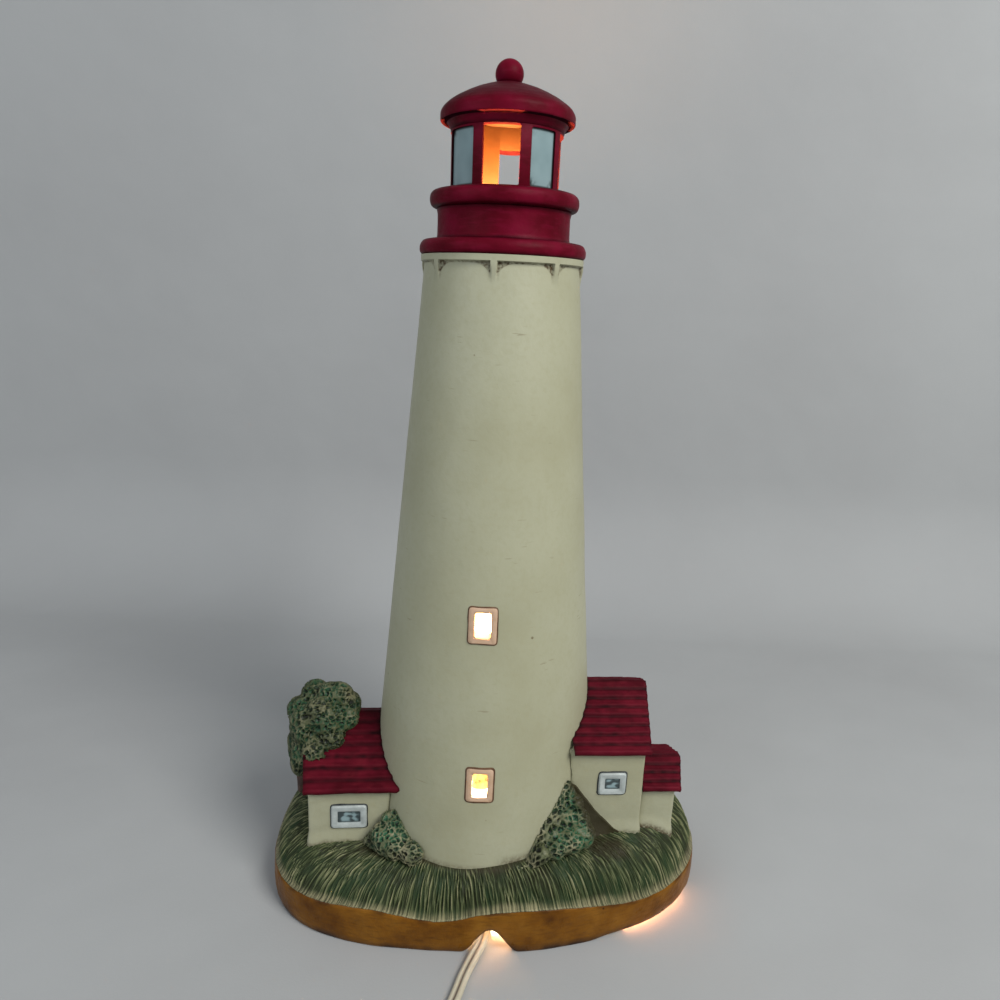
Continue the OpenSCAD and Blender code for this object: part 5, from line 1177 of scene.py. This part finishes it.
def flat_cord(name, path, nodes):
    """Two-core cord with a groove along its middle, its width level."""
    core_x, r = (CORD_W - CORD_T) / 2, CORD_T / 2
    section = []
    for side in (1, -1):
        for k in range(9):
            v = math.radians(-104 + k * 26) if side > 0 else math.radians(76 + k * 26)
            section.append((side * core_x * 0.98 + r * math.cos(v), r * math.sin(v), 0.0))
        # The point in the groove carries painted shade
        section.append((0, side * 0.52 * r, 1.0))
    points, dirt = [], []
    for i, p in enumerate(path):
        along = path[min(i + 1, len(path) - 1)] - path[max(i - 1, 0)]
        ahead = Vector((along[0], along[1], 0)).normalized()
        across = Vector((ahead.y, -ahead.x, 0))
        lift = across.cross(Vector(along).normalized())
        for w, h, groove in section:
            points.append(tuple(Vector(p) + across * w + lift * h))
            dirt.append(groove)
    obj = piece(name, points, loop_faces(len(path), len(section), closed=False), "cord", nodes, 60,
                "light_kit", dirt=dirt)


def make_cords():
    flat_cord("cord_to_switch", smoothed(RUN), ["cord_run"])
    route = np.concatenate([smoothed(LEAD), coil_points(), smoothed(TAIL)])
    flat_cord("cord_to_plug", route, ["cord_lead", "cord_coil", "cord_tail"])


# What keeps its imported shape

def dress(paint, *names):
    for name in names:
        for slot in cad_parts[name].material_slots:
            slot.link = "OBJECT"
            slot.material = PAINTS[paint]


def make_kit():
    dress("felt", "pan_felt")
    dress("pan", "pan_base")
    dress("brass", "lamp_pipe", "pipe_nuts", "screw_shell", "centre_contact", "bulb_cap", "plug_blades")
    dress("black", "socket_cap", "socket_body", "bulb_insulator")
    dress("bulb", "bulb_glass")
    dress("steel", "bulb_mount", "switch_screw")
    dress("ivory", "switch_lower", "switch_upper", "plug_body", "cord_relief")
    dress("wheel", "switch_wheel")
    dress("cord", "cord_inside")


# Floor, backdrop and light

def make_stage():
    """One sheet: a floor that runs to 260 mm behind the middle, curves up and goes on as a wall."""
    turn, wall_y, reach, sunk = 0.12, 0.26, 1.6, 0.00005
    bend = np.linspace(0.1, math.pi / 2, 10)
    ys = np.concatenate([np.linspace(-reach, wall_y, 60), wall_y + turn * np.sin(bend),
                         np.full(12, wall_y + turn)])
    zs = np.concatenate([np.zeros(60), turn * (1 - np.cos(bend)), np.linspace(0.16, reach, 12)])
    points = [(x, y, z - sunk) for x in np.linspace(-reach, reach, 80) for y, z in zip(ys, zs)]
    mesh = bpy.data.meshes.new("floor")
    mesh.from_pydata(points, [], grid_faces(80, len(ys))[0])
    mesh.shade_smooth()
    floor = bpy.data.objects.new("floor", mesh)
    scene.collection.objects.link(floor)
    p = Paint("pale_cloth")
    tone = p.mix(p.span(p.noise(300, 3), 0.3, 0.7), (0.405, 0.419, 0.423), (0.368, 0.377, 0.381))
    p.bump((p.noise(90, 2), 3.0), (p.noise(1.2, 2), 0.05))
    mesh.materials.append(p.finish(tone, 0.9))


def lamp(name, kind, at, power, colour, size, target=None):
    """A light at a place in metres, with its power in watts and its size across, aimed at a target."""
    data = bpy.data.lights.new(name, kind)
    data.energy = power
    data.color = colour
    if kind == "AREA":
        data.shape = "DISK"
        data.size = size
    else:
        data.shadow_soft_size = size
    obj = bpy.data.objects.new(name, data)
    obj.location = at
    if target is not None:
        obj.rotation_euler = (Vector(target) - Vector(at)).to_track_quat("-Z", "Y").to_euler()
    scene.collection.objects.link(obj)
    return data


def make_light():
    world = bpy.data.worlds.new("world")
    scene.world = world
    world.use_nodes = True
    background = world.node_tree.nodes["Background"]
    background.inputs[0].default_value = (0.90, 0.94, 1.0, 1)
    background.inputs[1].default_value = 0.36
    middle, x = (0, 0, 0.15), TOWER_X / 1000
    lamp("key", "AREA", (0.75, -0.75, 1.1), 17, (1.0, 0.98, 0.94), 0.7, middle)
    lamp("fill", "AREA", (-0.9, -0.8, 0.7), 3.5, (0.9, 0.95, 1.0), 0.9, middle)
    # What the bulb throws up the tower, down its well and into the lantern
    warm = (1.0, 0.62, 0.30)
    lamp("tower_light", "POINT", (x, 0.0, 0.158), 0.6, warm, 0.006)
    lamp("well_light", "POINT", (x, -0.026, 0.096), 1.0, warm, 0.004)
    lamp("lantern_light", "POINT", (x, 0.0, 0.321), 1.8, (1.0, 0.46, 0.13), 0.006)
    lamp("well_glow", "AREA", (x, -0.034, 0.104), 2.2, (1.0, 0.90, 0.70), 0.018, (x, 0.030, 0.058))
    # Under the island: the glow in the notch, and what leaks out where the rim's foot is uneven
    lamp("notch_light", "POINT", (0.006, -0.042, 0.022), 0.012, (1.0, 0.30, 0.12), 0.004)
    for a in range(-34, -15, 3):
        at = np.array([*cos_sin(a), 0]) * (base_r(a) - 6.5) / 1000
        strip = lamp("leak_light", "AREA", (*at[:2], 0.0013), 0.0021, (1.0, 0.38, 0.15), 0.010, 2 * at)
        strip.shape = "RECTANGLE"
        strip.size_y = 0.0015


make_cords()
make_rim()
make_grass()
make_tower()
make_tower_windows()
make_lantern()
make_lantern_room()
make_panes()
make_cottages()
make_planting()
make_kit()
make_stage()
make_light()

scene.view_settings.view_transform = "Standard"
